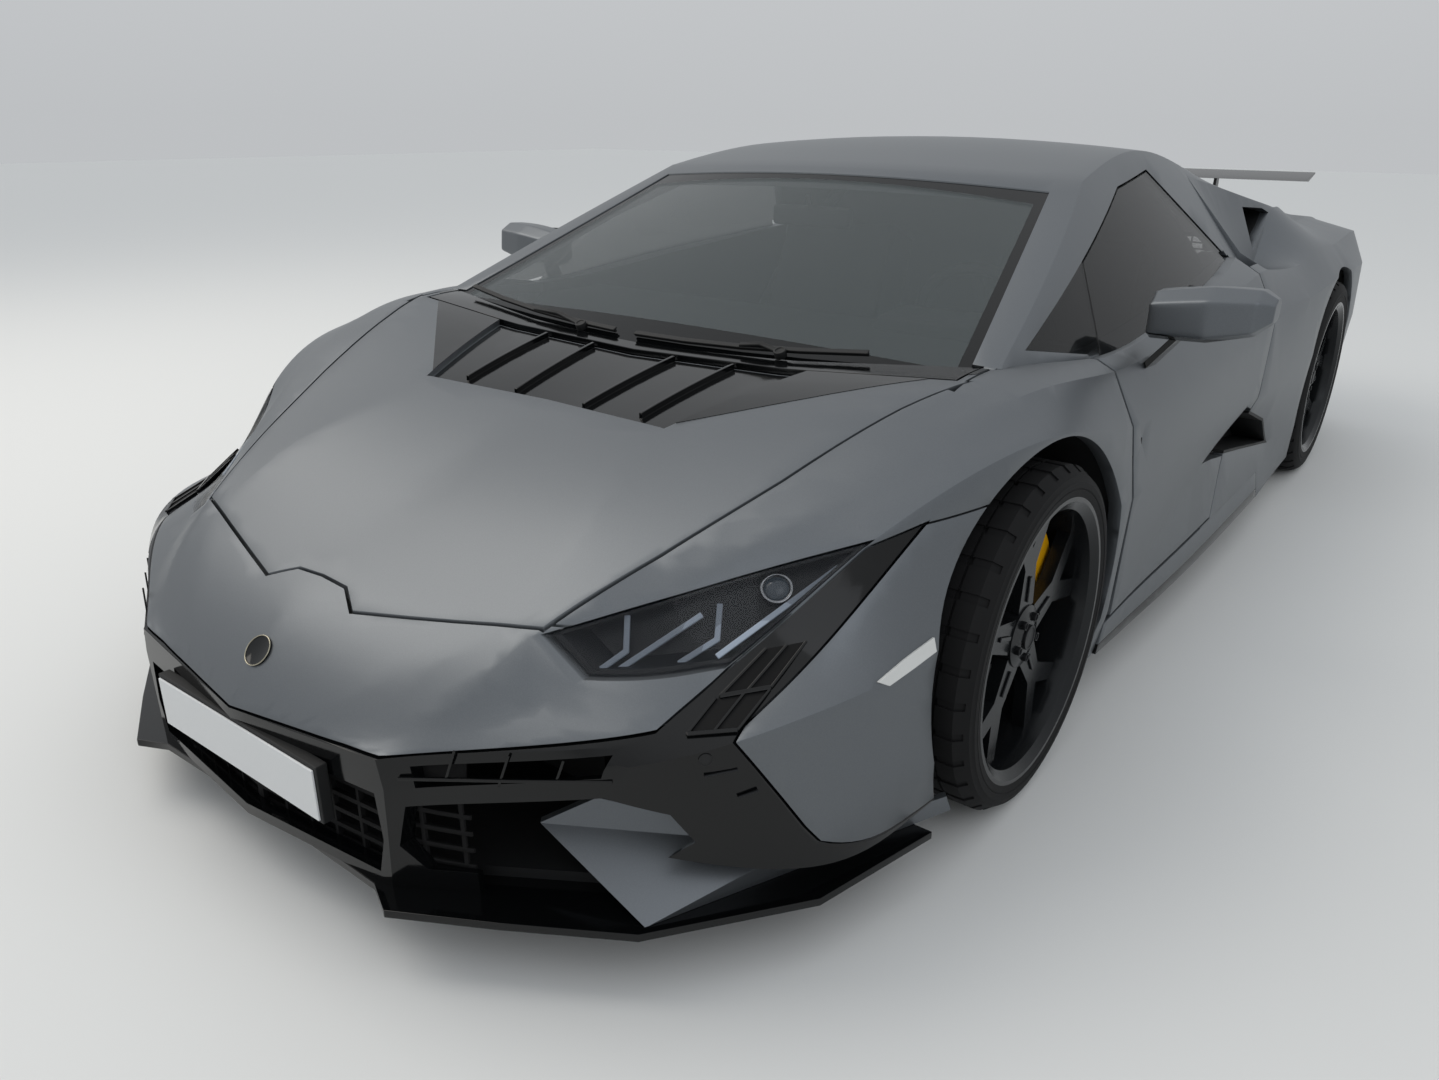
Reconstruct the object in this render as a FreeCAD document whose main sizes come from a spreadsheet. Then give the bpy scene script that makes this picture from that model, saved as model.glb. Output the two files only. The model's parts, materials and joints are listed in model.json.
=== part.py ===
"""Mid-engined two-seat supercar, modelled in millimetres.

Frame: +Z up, the nose faces -Y, the car's left side is +X, and the origin lies on the ground below
the middle of the overall box. Left parts are drawn once and mirrored for the right side.
"""
import FreeCAD
import Part
import math
import os
import re
import Sketcher
from FreeCAD import Placement, Rotation, Vector

doc = FreeCAD.newDocument("supercar")
sheet = doc.addObject("Spreadsheet::Sheet", "sizes")

# Driving dimensions: alias and value in millimetres or degrees.
SIZES = (
    ("overall_length", 4567),
    ("body_width", 1932),
    ("wheelbase", 2620),
    ("front_overhang", 1042),
    ("ground_clearance", 122),
    ("front_track", 1668),
    ("rear_track", 1624),
    ("front_tyre_radius", 327),
    ("front_tyre_width", 245),
    ("rear_tyre_radius", 345),
    ("rear_tyre_width", 305),
    ("rim_lip_radius", 272),
    ("rim_seat_radius", 256),
    ("barrel_wall", 9),
    ("spoke_count", 5),
    ("spoke_thickness", 26),
    ("hub_radius", 68),
    ("hub_bore_radius", 20.4),
    ("spindle_radius", 20),
    ("disc_radius", 190),
    ("disc_thickness", 34),
    ("caliper_clearance", 4),
    ("kingpin_offset", 79),
    ("front_arch_radius", 378),
    ("rear_arch_radius", 394),
    ("liner_clearance", 12),
    ("liner_wall", 6),
    ("panel_wall", 26),
    ("door_wall", 105),
    ("roof_wall", 34),
    ("glass_thickness", 5),
    ("glass_inset", 3),
    ("moving_gap", 6),
    ("seam_gap", 3.5),
    ("seam_depth", 12),
    ("seat_gap", 0.5),
    ("door_front_offset", 414),
    ("door_rear_offset", 1774),
    ("door_hinge_inset", 33),
    ("door_hinge_back", 60),
    ("door_lead_gap", 9),
    ("hinge_pin_radius", 5),
    ("pin_clearance", 0.3),
    ("hood_axis_back", 98),
    ("hood_axis_height", 785),
    ("cover_axis_ahead", 22),
    ("cover_axis_height", 1094),
    ("cover_gap", 10),
    ("lens_depth", 7),
    ("insert_drop", 12),
    ("grille_depth", 8),
    ("lamp_depth", 44),
    ("kingpin_radius", 9),
    ("floor_thickness", 18),
    ("splitter_thickness", 14),
    ("mirror_span", 2236),
    ("wing_span", 1300),
    ("wing_chord", 175),
    ("wing_height", 985),
    ("exhaust_radius", 58),
    ("exhaust_spread", 175),
    ("steering_wheel_radius", 180),
    ("steering_grip_radius", 15),
    ("column_angle", 24),
    ("column_radius", 12),
    ("seat_width", 470),
    ("bolster_width", 78),
    ("driver_offset", 400),
    ("engine_width", 620),
)
for row, (alias, value) in enumerate(SIZES, start=1):
    sheet.set("A%d" % row, alias)
    sheet.set("B%d" % row, str(value))
    sheet.setAlias("B%d" % row, alias)
doc.recompute()


def size(alias):
    """The value of a driving dimension."""
    return float(sheet.get(alias))


half_length = size("overall_length") / 2
half_width = size("body_width") / 2
front_axle = size("front_overhang") - half_length
rear_axle = front_axle + size("wheelbase")
door_front = front_axle + size("door_front_offset")
door_rear = front_axle + size("door_rear_offset")
floor_z = size("ground_clearance")
panel_wall = size("panel_wall")
moving_gap = size("moving_gap")
seam_gap = size("seam_gap")
seam_depth = size("seam_depth")
seat_gap = size("seat_gap")
floor_top = floor_z + size("floor_thickness")
far = 3000

# Stations along the car that the body sections are measured from.
STATION = {
    "nose": -half_length,
    "front": front_axle,
    "door": door_front,
    "latch": door_rear,
    "rear": rear_axle,
    "tail": half_length,
}
MIRROR = Vector(1, 0, 0)
ORIGIN = Vector(0, 0, 0)


# Plane geometry helpers

def wire_at(points, place):
    """A closed wire through plane points, each put in space by place(a, b)."""
    corners = [place(a, b) for a, b in points]
    return Part.makePolygon(corners + [corners[0]])


def plan(points, low=-50, high=1400, grow=0.0):
    """A vertical prism on a plan outline of (x, y) points, grown sideways by a gap."""
    face = Part.Face(wire_at(points, lambda a, b: Vector(a, b, low)))
    if grow:
        face = face.makeOffset2D(grow, 2)
    return face.extrude(Vector(0, 0, high - low))


def side(points, near, away, grow=0.0):
    """A prism across the car on a side outline of (y, z) points, from x = near to x = away."""
    face = Part.Face(wire_at(points, lambda a, b: Vector(near, a, b)))
    if grow:
        face = face.makeOffset2D(grow, 2)
    return face.extrude(Vector(away - near, 0, 0))


def front(points, near, away, grow=0.0):
    """A prism along the car on a front outline of (x, z) points, from y = near to y = away."""
    face = Part.Face(wire_at(points, lambda a, b: Vector(a, near, b)))
    if grow:
        face = face.makeOffset2D(grow, 2)
    return face.extrude(Vector(0, away - near, 0))


def box(low, high):
    """A box between two corners."""
    return Part.makeBox(high[0] - low[0], high[1] - low[1], high[2] - low[2], Vector(*low))


def cylinder(radius, start, end):
    """A round bar between two points."""
    axis = Vector(*end) - Vector(*start)
    return Part.makeCylinder(radius, axis.Length, Vector(*start), axis)


def mirrored(shape):
    """The same shape on the other side of the car."""
    return shape.mirror(ORIGIN, MIRROR)


def both(shape):
    """A half and its mirror image joined at the middle plane."""
    return shape.fuse(mirrored(shape)).removeSplitter()


def solids(shape, least=200.0):
    """The solids of a shape without crumbs smaller than a few cubic millimetres."""
    kept = [s for s in shape.Solids if s.Volume > least]
    return kept[0] if len(kept) == 1 else Part.makeCompound(kept)


# Body skin: half sections from the middle of the top, over the fender and down to the sill

def inset(chain, wall):
    """A chain of (x, z) points moved inward by a wall, with its last point run out below."""
    moved = []
    for i, (x, z) in enumerate(chain):
        normals = []
        for a, b in ((i - 1, i), (i, i + 1)):
            if a < 0 or b >= len(chain):
                continue
            dx, dz = chain[b][0] - chain[a][0], chain[b][1] - chain[a][1]
            length = math.hypot(dx, dz)
            normals.append((dz / length, -dx / length))
        if len(normals) == 1:
            nx, nz = normals[0]
            scale = 1.0
        else:
            nx, nz = normals[0][0] + normals[1][0], normals[0][1] + normals[1][1]
            scale = 1.0 / (1.0 + normals[0][0] * normals[1][0] + normals[0][1] * normals[1][1])
        if i == 0:
            nx, nz, scale = 0.0, -1.0, 1.0
        moved.append((x + nx * scale * wall, z + nz * scale * wall))
    moved[-1] = (moved[-1][0], -20.0)
    return moved


def section(row, wall=0.0, shift=0.0):
    """The half section of one table row in space, inset by a wall, ending below the middle."""
    station, offset, vee = row[0], row[1], row[2]
    chain = inset(row[3:], wall) if wall else list(row[3:])
    chain.append((0.0, chain[-1][1]))
    y = STATION[station] + offset + shift
    return [Vector(x, y + vee * x, z) for x, z in chain]


def skin(rows, wall=0.0, start=0.0, end=0.0):
    """A half body through the table's rows, inset by a wall, its ends moved by start and end.

    Each column of the table is one smooth line along the car, and each strip between two lines is
    straight across.
    """
    shifts = [start] + [0.0] * (len(rows) - 2) + [end]
    sections = [section(row, wall, shift) for row, shift in zip(rows, shifts)]
    spans = [sum(p.distanceToPoint(q) for p, q in zip(one, two)) for one, two in zip(sections, sections[1:])]
    knots = [sum(spans[:i]) / sum(spans) for i in range(len(sections))]
    lines = []
    for column in zip(*sections):
        curve = Part.BSplineCurve()
        curve.interpolate(Points=list(column), Parameters=knots)
        lines.append(curve.toShape())
    faces = [Part.makeRuledSurface(one, two) for one, two in zip(lines, lines[1:])]
    ends = []
    for points in (sections[0], sections[-1]):
        ends.append(Part.Face(Part.makePolygon(points + [points[0]])))
    middle = Part.Face(Part.Wire([
        lines[0],
        Part.makeLine(sections[-1][0], sections[-1][-1]),
        lines[-1],
        Part.makeLine(sections[0][-1], sections[0][0]),
    ]))
    shell = Part.makeShell(faces + ends + [middle])
    shell.sewShape()
    body = Part.makeSolid(shell)
    if body.Volume < 0:
        body.reverse()
    return body


# Columns: station, offset, vee of the section in plan, then (x, z) of the middle, hood crease, hood
# edge, fender crest, flank top, waist, lower flank and sill edge.
NOSE_ROWS = (
    ("nose", 7, 0.10, (0, 327), (150, 334), (250, 341), (300, 345), (342, 349), (352, 300),
     (350, 230), (345, 122)),
    ("nose", 106, 0, (0, 434), (270, 414), (377, 395), (415, 382), (449, 370), (462, 320), (458, 230),
     (450, 122)),
    ("nose", 266, 0, (0, 516), (400, 515), (467, 512), (553, 460), (686, 416), (735, 396), (722, 250),
     (700, 122)),
    ("front", -637, 0, (0, 577), (405, 590), (530, 577), (600, 545), (700, 466), (832, 425),
     (848, 250), (850, 122)),
    ("front", -427, 0, (0, 655), (326, 670), (612, 660), (710, 648), (803, 614), (893, 436),
     (915, 250), (905, 122)),
    ("front", 0, 0, (0, 757), (380, 762), (765, 785), (850, 768), (925, 712), (958, 520), (945, 250),
     (925, 122)),
    ("door", 0, 0, (0, 790), (400, 790), (842, 764), (880, 745), (932, 640), (953, 490), (940, 230),
     (920, 122)),
    ("door", 300, 0, (0, 780), (400, 780), (856, 778), (884, 755), (931, 640), (950, 495), (942, 230),
     (922, 122)),
)
DOOR_ROWS = (
    ("door", -250, 0, (0, 790), (400, 790), (800, 800), (862, 778), (927, 690), (957, 505),
     (940, 240), (920, 122)),
    ("door", 0, 0, (0, 790), (400, 790), (842, 764), (880, 745), (932, 640), (953, 490), (938, 218),
     (928, 122)),
    ("door", 500, 0, (0, 770), (400, 770), (860, 795), (886, 765), (930, 640), (948, 500), (924, 330),
     (950, 122)),
    ("latch", -360, 0, (0, 800), (400, 810), (836, 832), (880, 795), (930, 655), (948, 490),
     (916, 350), (958, 122)),
    ("latch", 0, 0, (0, 850), (400, 850), (785, 850), (866, 808), (932, 680), (958, 470), (930, 285),
     (958, 122)),
    ("latch", 200, 0, (0, 850), (400, 850), (770, 830), (868, 795), (940, 690), (962, 470),
     (940, 262), (955, 122)),
)
# Columns: station, offset, vee, then (x, z) of the middle, deck edge, scoop's upper edge, scoop's lip, fender
# crest, flank top, waist, lower flank and sill edge.
TAIL_ROWS = (
    ("latch", 0, 0, (0, 1113), (566, 1087), (600, 1058), (785, 850), (866, 808), (932, 680),
     (958, 470), (930, 285),
     (958, 122)),
    ("rear", -556, 0, (0, 1062), (552, 1040), (652, 1008), (762, 752), (872, 784), (946, 695),
     (962, 475), (945, 258),
     (948, 122)),
    ("rear", -380, 0, (0, 1020), (541, 1000), (697, 972), (741, 846), (880, 786), (953, 704),
     (964, 490), (956, 252),
     (944, 122)),
    ("rear", -226, 0, (0, 992), (535, 974), (720, 946), (730, 934), (884, 808), (956, 714),
     (965, 520), (960, 254),
     (942, 122)),
    ("rear", 0, 0, (0, 952), (520, 938), (716, 914), (728, 904), (892, 808), (960, 720), (966, 560),
     (960, 260),
     (940, 122)),
    ("tail", -420, 0, (0, 888), (520, 880), (706, 868), (720, 858), (878, 815), (940, 700),
     (946, 500), (930, 260),
     (900, 150)),
    ("tail", -130, 0, (0, 858), (540, 852), (696, 844), (712, 836), (850, 800), (900, 690),
     (905, 500), (880, 300),
     (850, 200)),
    ("tail", 0, 0, (0, 840), (540, 836), (676, 826), (690, 818), (800, 780), (850, 690), (850, 520),
     (820, 360),
     (780, 290)),
)

nose_outer = skin(NOSE_ROWS)
nose_inner = skin(NOSE_ROWS, panel_wall, start=panel_wall, end=60)
front_cap = box((-far, -far, -60), (far, door_front, 2000))
nose_outer = nose_outer.common(front_cap)
nose_shell = nose_outer.cut(nose_inner)
nose_rind = nose_outer.cut(skin(NOSE_ROWS, seam_depth, start=seam_depth, end=60))

door_span = box((-far, door_front, -60), (far, door_rear, 2000))
door_outer = skin(DOOR_ROWS).common(door_span)

tail_outer = skin(TAIL_ROWS)
tail_inner = skin(TAIL_ROWS, panel_wall, start=-60, end=-panel_wall)
tail_shell = tail_outer.cut(tail_inner)


# Greenhouse: behind the windshield, inside the side glass and below the roof

def mix(a, b, t):
    """A value between a and b."""
    return a + (b - a) * t


def plan_arc(side_x, side_y, middle_y, z):
    """A plan arc through (side_x, side_y) and (0, middle_y) at a height, as an edge."""
    return Part.Arc(Vector(-side_x, side_y, z), Vector(0, middle_y, z), Vector(side_x, side_y, z)).toShape()


# Windshield at two heights: z, middle y, edge x, edge y, with every y from the front axle.
SCREEN_LOW = (745, -36, 784, -9)
SCREEN_HIGH = (1096, 739, 591, 880)
# Side glass at two heights: z, then (x, y from the front axle) at its front, middle and rear.
GLASS_LOW = (760, (790, 104), (868, 914), (842, 1774))
GLASS_HIGH = (1100, (560, 314), (607, 1064), (566, 1774))
# Roof: y from the front axle, height of its middle, drop at its side.
ROOF = ((560, 1062, 30), (739, 1097, 28), (928, 1130, 27), (1289, 1165, 26), (1534, 1153, 26),
        (1774, 1113, 25))
roof_reach = 560


def screen_wedge(wall=0.0):
    """Everything behind the windshield, moved back by a wall."""
    wires = []
    slope = math.atan2(SCREEN_HIGH[0] - SCREEN_LOW[0], SCREEN_HIGH[1] - SCREEN_LOW[1])
    for z in (500.0, 1300.0):
        t = (z - SCREEN_LOW[0]) / (SCREEN_HIGH[0] - SCREEN_LOW[0])
        back = wall / math.sin(slope)
        middle_y = front_axle + mix(SCREEN_LOW[1], SCREEN_HIGH[1], t) + back
        edge_x = mix(SCREEN_LOW[2], SCREEN_HIGH[2], t)
        edge_y = front_axle + mix(SCREEN_LOW[3], SCREEN_HIGH[3], t) + back
        reach = 1.6
        bow = (edge_y - middle_y) * reach * reach
        arc = plan_arc(edge_x * reach, middle_y + bow, middle_y, z)
        corners = (
            Vector(edge_x * reach, middle_y + bow, z),
            Vector(edge_x * reach, 1800, z),
            Vector(-edge_x * reach, 1800, z),
            Vector(-edge_x * reach, middle_y + bow, z),
        )
        wires.append(Part.Wire([arc] + [Part.makeLine(corners[i], corners[i + 1]) for i in range(3)]))
    return Part.makeLoft(wires, True, True)


def glass_wedge(wall=0.0):
    """Everything between the two sides of glass, moved inward by a wall."""
    wires = []
    for z in (600.0, 1300.0):
        t = (z - GLASS_LOW[0]) / (GLASS_HIGH[0] - GLASS_LOW[0])
        points = [
            Vector(mix(a[0], b[0], t) - wall, front_axle + mix(a[1], b[1], t), z)
            for a, b in zip(GLASS_LOW[1:], GLASS_HIGH[1:])
        ]
        ahead = points[0] - Vector(0, 400, 0)
        flip = [Vector(-p.x, p.y, p.z) for p in points]
        flip_ahead = Vector(-ahead.x, ahead.y, z)
        left = Part.Arc(*points).toShape()
        right = Part.Arc(*flip).toShape()
        wires.append(Part.Wire([
            left,
            Part.makeLine(points[2], flip[2]),
            right,
            Part.makeLine(flip[0], flip_ahead),
            Part.makeLine(flip_ahead, ahead),
            Part.makeLine(ahead, points[0]),
        ]))
    return Part.makeLoft(wires, True, True)


def roof_sheet(wall=0.0):
    """Everything below the crowned roof, lowered by a wall."""
    wires = []
    for offset, middle, drop in ROOF:
        y = front_axle + offset
        reach = 900.0
        edge = middle - drop * (reach / roof_reach) ** 2 - wall
        arc = Part.Arc(Vector(-reach, y, edge), Vector(0, y, middle - wall), Vector(reach, y, edge)).toShape()
        corners = (
            Vector(reach, y, edge),
            Vector(reach, y, 400),
            Vector(-reach, y, 400),
            Vector(-reach, y, edge),
        )
        wires.append(Part.Wire([arc] + [Part.makeLine(corners[i], corners[i + 1]) for i in range(3)]))
    return Part.makeLoft(wires, True, False)


def greenhouse(wall=0.0):
    """The whole closed cabin top, inset by a wall, down to the belt."""
    top = roof_sheet(wall).fuse(box((-900, -1500, 400), (900, front_axle + ROOF[0][0], ROOF[0][1] - wall)))
    return top.common(screen_wedge(wall)).common(glass_wedge(wall))


# Side outline of the side window, and the bar that parts its fixed front pane: (y from the front axle, z).
WINDOW = ((209, 806), (414, 772), (1619, 864), (1334, 1092), (1029, 1062))
DIVIDER = ((409, 700), (679, 1000))
# Plan outline of the windshield opening, y from the front axle: middle front y, low corner, high corner,
# middle rear y.
SCREEN_HOLE = (-8, (716, 94), (572, 759), 709)

roof_wall = size("roof_wall")
glass_thickness = size("glass_thickness")
glass_inset = size("glass_inset")
cabin_outer = greenhouse()
cabin_inner = greenhouse(roof_wall)
pane_outer = greenhouse(glass_inset)
pane_inner = greenhouse(glass_inset + glass_thickness)


def screen_hole(grow=0.0):
    """The windshield opening as a vertical prism with arcs at its base and header."""
    low_y, (low_x, low_side), (high_x, high_side), high_y = SCREEN_HOLE
    low_y, low_side, high_side, high_y = [front_axle + y for y in (low_y, low_side, high_side, high_y)]
    z = 500.0
    low_arc = Part.Arc(
        Vector(-low_x - grow, low_side, z), Vector(0, low_y - grow, z), Vector(low_x + grow, low_side, z)
    ).toShape()
    high_arc = Part.Arc(
        Vector(high_x + grow, high_side + grow, z),
        Vector(0, high_y + grow, z),
        Vector(-high_x - grow, high_side + grow, z),
    ).toShape()
    right = Part.makeLine(Vector(low_x + grow, low_side, z), Vector(high_x + grow, high_side + grow, z))
    left = Part.makeLine(Vector(-high_x - grow, high_side + grow, z), Vector(-low_x - grow, low_side, z))
    return Part.Face(Part.Wire([low_arc, right, high_arc, left])).extrude(Vector(0, 0, 900))


parts = {}


def keep(name, shape):
    """Put one sub-part into the document under its node name."""
    item = doc.addObject("Part::Feature", name)
    item.Label = name
    item.Shape = shape
    parts[name] = item
    return item


def twin(name, source):
    """The right-hand twin of a left sub-part."""
    item = doc.addObject("Part::Mirroring", name)
    item.Label = name
    item.Source = source
    item.Normal = MIRROR
    parts[name] = item
    return item


def keep_pair(name, source):
    """A left piece and its twin, which don't touch, as one sub-part."""
    right = doc.addObject("Part::Mirroring", name + "_right")
    right.Source = source
    right.Normal = MIRROR
    item = doc.addObject("Part::Compound", name)
    item.Label = name
    item.Links = [source, right]
    parts[name] = item
    return item


def drawn_piece(name, shape):
    """A left piece for a pair."""
    item = doc.addObject("Part::Feature", name + "_left")
    item.Shape = shape
    return item


def from_front(points):
    """Plan outline points (x, y) whose y is given from the front axle."""
    return [(x, y + front_axle) for x, y in points]


def side_from(axle, points):
    """Side outline points (y, z) whose y is given from an axle."""
    return [(y + axle, z) for y, z in points]


def seam(prism_of, rind):
    """What a fixed neighbour loses along an outline: a wide groove in the skin over a close joint."""
    return prism_of(seam_gap).common(rind), prism_of(seat_gap)


def without(shape, *tools):
    """A shape less each tool in turn."""
    for tool in tools:
        shape = shape.cut(tool)
    return shape


# Plan outline of the hood from its front notch to its rear edge: (x, y from the front axle).
HOOD = ((-1, -836), (68, -838), (122, -868), (467, -775), (545, -600), (625, -392), (703, -151), (757, -8),
        (430, -34), (-1, -50))
# Plan outline of what lies ahead of the hood and lamps.
NOSE = ((-1, -400), (467, -774), (900, -487), (900, -1300), (-1, -1300))
# Front outlines (x, z): lamp, black fascia with its strip beside the lamp, and painted bumper side.
LAMP = ((478, 503), (553, 459), (700, 467), (803, 617))
FASCIA = ((-1, 326), (0, 326), (342, 348), (686, 415), (706, 462), (806, 611), (853, 634), (776, 422),
          (860, 215), (915, 160), (1100, 160), (1100, -40), (-1, -40))
BUMPER_SIDE = ((853, 634), (776, 422), (860, 215), (915, 160), (1100, 160), (1100, 648), (935, 643))
# Plan outline of the black louvred insert in the hood.
LOUVRE = ((-1, -303), (330, -333), (432, -36), (-1, -52))
# Side outline of the doors, from the front axle, and of the intake ahead of the rear wheel.
DOOR = ((414, 900), (414, 640), (446, 205), (1240, 205), (1330, 300), (1560, 500), (1700, 690), (1640, 900))
INTAKE = ((1153, 385), (1443, 470), (1733, 380), (1913, 262))

front_hub = Vector(0, front_axle, size("front_tyre_radius"))
rear_hub = Vector(0, rear_axle, size("rear_tyre_radius"))


def arch(hub, radius, near=470.0):
    """The bore of a wheel arch from inside the tyre outwards."""
    return cylinder(radius, (near, hub.y, hub.z), (1200, hub.y, hub.z))


front_arch = arch(front_hub, size("front_arch_radius"))
rear_arch = arch(rear_hub, size("rear_arch_radius"))
nose_start = -half_length - 50


def hood_prism(grow=0.0):
    """The hood's plan outline as a prism."""
    return plan(from_front(HOOD), 300, 1000, grow)


def nose_prism(grow=0.0):
    """The painted nose's plan outline as a prism."""
    return plan(from_front(NOSE), 0, 1000, grow)


def lamp_prism(grow=0.0):
    """The headlamp's front outline as a prism."""
    return front(LAMP, nose_start, front_axle - 300, grow)


def fascia_prism(grow=0.0):
    """The black fascia's front outline as a prism."""
    return front(FASCIA, nose_start, front_axle - 280, grow)


def flank_prism(grow=0.0):
    """The painted bumper side's front outline as a prism."""
    return front(BUMPER_SIDE, nose_start, front_axle, grow)


def louvre_prism(grow=0.0):
    """The louvred insert's plan outline as a prism."""
    return plan(from_front(LOUVRE), 300, 1000, grow)


hood_seam = hood_prism(moving_gap)
nose_seam = seam(nose_prism, nose_rind)
lamp_seam = seam(lamp_prism, nose_rind)
fascia_seam = seam(fascia_prism, nose_rind)
flank_seam = seam(flank_prism, nose_rind)
louvre_seam = seam(louvre_prism, nose_rind)

# Windshield and side windows
window_side = side_from(front_axle, WINDOW)
divider = side_from(front_axle, DIVIDER)
fixed_side = [(front_axle + 100, 700), divider[0], divider[1], (front_axle + 100, 1000)]
pane = pane_outer.cut(pane_inner)
window = side(window_side, 300, 1100)
windshield = pane.common(screen_hole(-seat_gap))
keep("windshield", solids(windshield))
front_pane = pane.common(side(window_side, 300, 1100, -seat_gap)).common(side(fixed_side, 300, 1100, -2))
keep_pair("quarter_glass", drawn_piece("quarter_glass", solids(front_pane)))
glass_drop = 26.0
door_window = side(window_side, 300, 1100, -moving_gap)
low_window = side([(y, z - glass_drop) for y, z in window_side], 300, 1100, -moving_gap)
door_pane = pane.common(door_window.fuse(low_window)).cut(side(fixed_side, 300, 1100, 2))
twin("door_glass_R", keep("door_glass_L", solids(door_pane)))

# Cabin frame: pillars, header, roof and cant rails
belt_z = 762
cabin = without(cabin_outer, cabin_inner, screen_hole(), window, mirrored(window), nose_outer,
                mirrored(nose_outer))
cabin = cabin.common(box((-far, front_axle - 80, belt_z), (far, door_rear, 1300)))
belt_cut = side([(front_axle + 414, 600), (front_axle + 414, 776), (front_axle + 1640, 868),
                 (front_axle + 1700, 600)], 300, 1100)
cabin = cabin.cut(belt_cut).cut(mirrored(belt_cut))
pin_radius = size("hinge_pin_radius")
pin_bore = pin_radius + size("pin_clearance")
cover_axis = Vector(0, door_rear - size("cover_axis_ahead"), size("cover_axis_height"))
cover_ear_near, cover_ear_far, cover_ear_radius = 294.0, 306.0, 9.0
slot_front = cover_axis.y - cover_ear_radius - moving_gap
cover_slot = box((cover_ear_near - moving_gap, slot_front, 1000),
                 (cover_ear_far + moving_gap, door_rear + 1, 1200))
door_room = door_outer.common(side(side_from(front_axle, DOOR), 500, 1200, moving_gap))
for rise in (0, moving_gap):
    raised = door_room.copy()
    raised.translate(Vector(0, 0, rise))
    cabin = cabin.cut(raised).cut(mirrored(raised))
hood_axis = Vector(0, front_axle + size("hood_axis_back"), size("hood_axis_height"))
pin_room = cylinder(pin_radius + 1, (700, hood_axis.y, hood_axis.z), (half_width, hood_axis.y, hood_axis.z))
cabin = cabin.cut(pin_room).cut(mirrored(pin_room))
cover_pin = cylinder(pin_radius, (cover_ear_near - moving_gap - 5, cover_axis.y, cover_axis.z),
                     (cover_ear_far + moving_gap + 5, cover_axis.y, cover_axis.z))
for turn_side in (lambda shape: shape, mirrored):
    cabin = cabin.cut(turn_side(cover_slot)).fuse(turn_side(cover_pin))
keep("cabin_frame", solids(cabin, 1000000))


# Hood with its louvred insert
ear_near, ear_far = 738.0, 751.0
ear_radius = 11.0
ear = box((ear_near, front_axle - 20, hood_axis.z - ear_radius),
          (ear_far, hood_axis.y, hood_axis.z + ear_radius))
ear = ear.fuse(cylinder(ear_radius, (ear_near, hood_axis.y, hood_axis.z),
                        (ear_far, hood_axis.y, hood_axis.z)))
ear = ear.common(nose_outer)
hood = nose_shell.common(hood_prism())
hood_lower = skin(NOSE_ROWS, 24, start=24, end=60)
insert_drop = size("insert_drop")
insert_outer = skin(NOSE_ROWS, insert_drop, start=insert_drop, end=60)
insert_wall = 14
insert_inner = skin(NOSE_ROWS, insert_drop + insert_wall, start=insert_drop + insert_wall, end=60)
insert = insert_outer.cut(insert_inner).common(louvre_prism())
RIBS = ((92, 112), (240, 262))
for near, away in RIBS:
    rib = [(near, -300), (near + 8, -300), (away + 8, -40), (away, -40)]
    insert = insert.fuse(hood.common(plan(from_front(rib), 300, 1000)).common(louvre_prism()).cut(hood_lower))
hood = without(hood, louvre_prism(seat_gap), louvre_seam[0])
ear_bore = cylinder(pin_bore, (700, hood_axis.y, hood_axis.z), (800, hood_axis.y, hood_axis.z))
hood = hood.fuse(ear).cut(ear_bore)
keep("hood_panel", solids(both(hood)))
keep("hood_louvre", solids(both(insert)))

# Nose, fascia, lamps, fenders and cowl
cockpit = box((-10, front_axle - 60, 300), (ear_far + moving_gap, far, 1300))
nose = without(nose_shell.common(nose_prism()), hood_seam, *lamp_seam, *fascia_seam, *flank_seam)
flank = without(nose_shell.common(flank_prism()), front_arch, *fascia_seam)
flank = solids(flank, 20000)
keep("front_bumper", Part.makeCompound([solids(both(nose), 20000), flank, mirrored(flank)]))

# Front outlines (x, z) of the openings in the fascia: side mouth, slot above it and middle mouth.
MOUTH = ((395, 160), (362, 200), (376, 272), (640, 322), (716, 296), (742, 246), (650, 166))
SLOT = ((385, 340), (650, 391), (640, 356), (392, 306))
MIDDLE = ((-1, 142), (322, 142), (338, 205), (330, 286), (-1, 280))
# Front outline of the room round the winglet, open down to the splitter.
WINGLET_ROOM = ((462, 203), (556, 264), (812, 186), (912, 160), (980, 160), (980, 100), (462, 100))
winglet_room = front(WINGLET_ROOM, nose_start, front_axle - 250)
fascia = without(nose_shell.common(fascia_prism()), front_arch, lamp_prism(seat_gap), winglet_room)
nose_back = front_axle - 480
grille = None
for outline in (MOUTH, SLOT, MIDDLE):
    fascia = fascia.cut(front(outline, nose_start, nose_back))
    zone = front(outline, nose_start, nose_back, 12)
    grille = zone if grille is None else grille.fuse(zone)
keep("front_fascia", solids(both(fascia)))
grille_wall = panel_wall + seat_gap
grille_depth = grille_wall + size("grille_depth")
grille = grille.cut(winglet_room)
sheet_outer = skin(NOSE_ROWS, grille_wall, start=grille_wall, end=60)
sheet_inner = skin(NOSE_ROWS, grille_depth, start=grille_depth, end=60)
grille = sheet_outer.cut(sheet_inner).common(grille).cut(front_arch)
for level in range(8):
    low = 138 + level * 30
    for near in range(8, 740, 62):
        if low < 290:
            grille = grille.cut(box((near, -far, low), (near + 56, nose_back + 1, low + 22)))
grille = grille.common(box((0, -far, 0), (far, nose_back, far)))
keep("front_grille", solids(both(grille), 1500))

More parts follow.
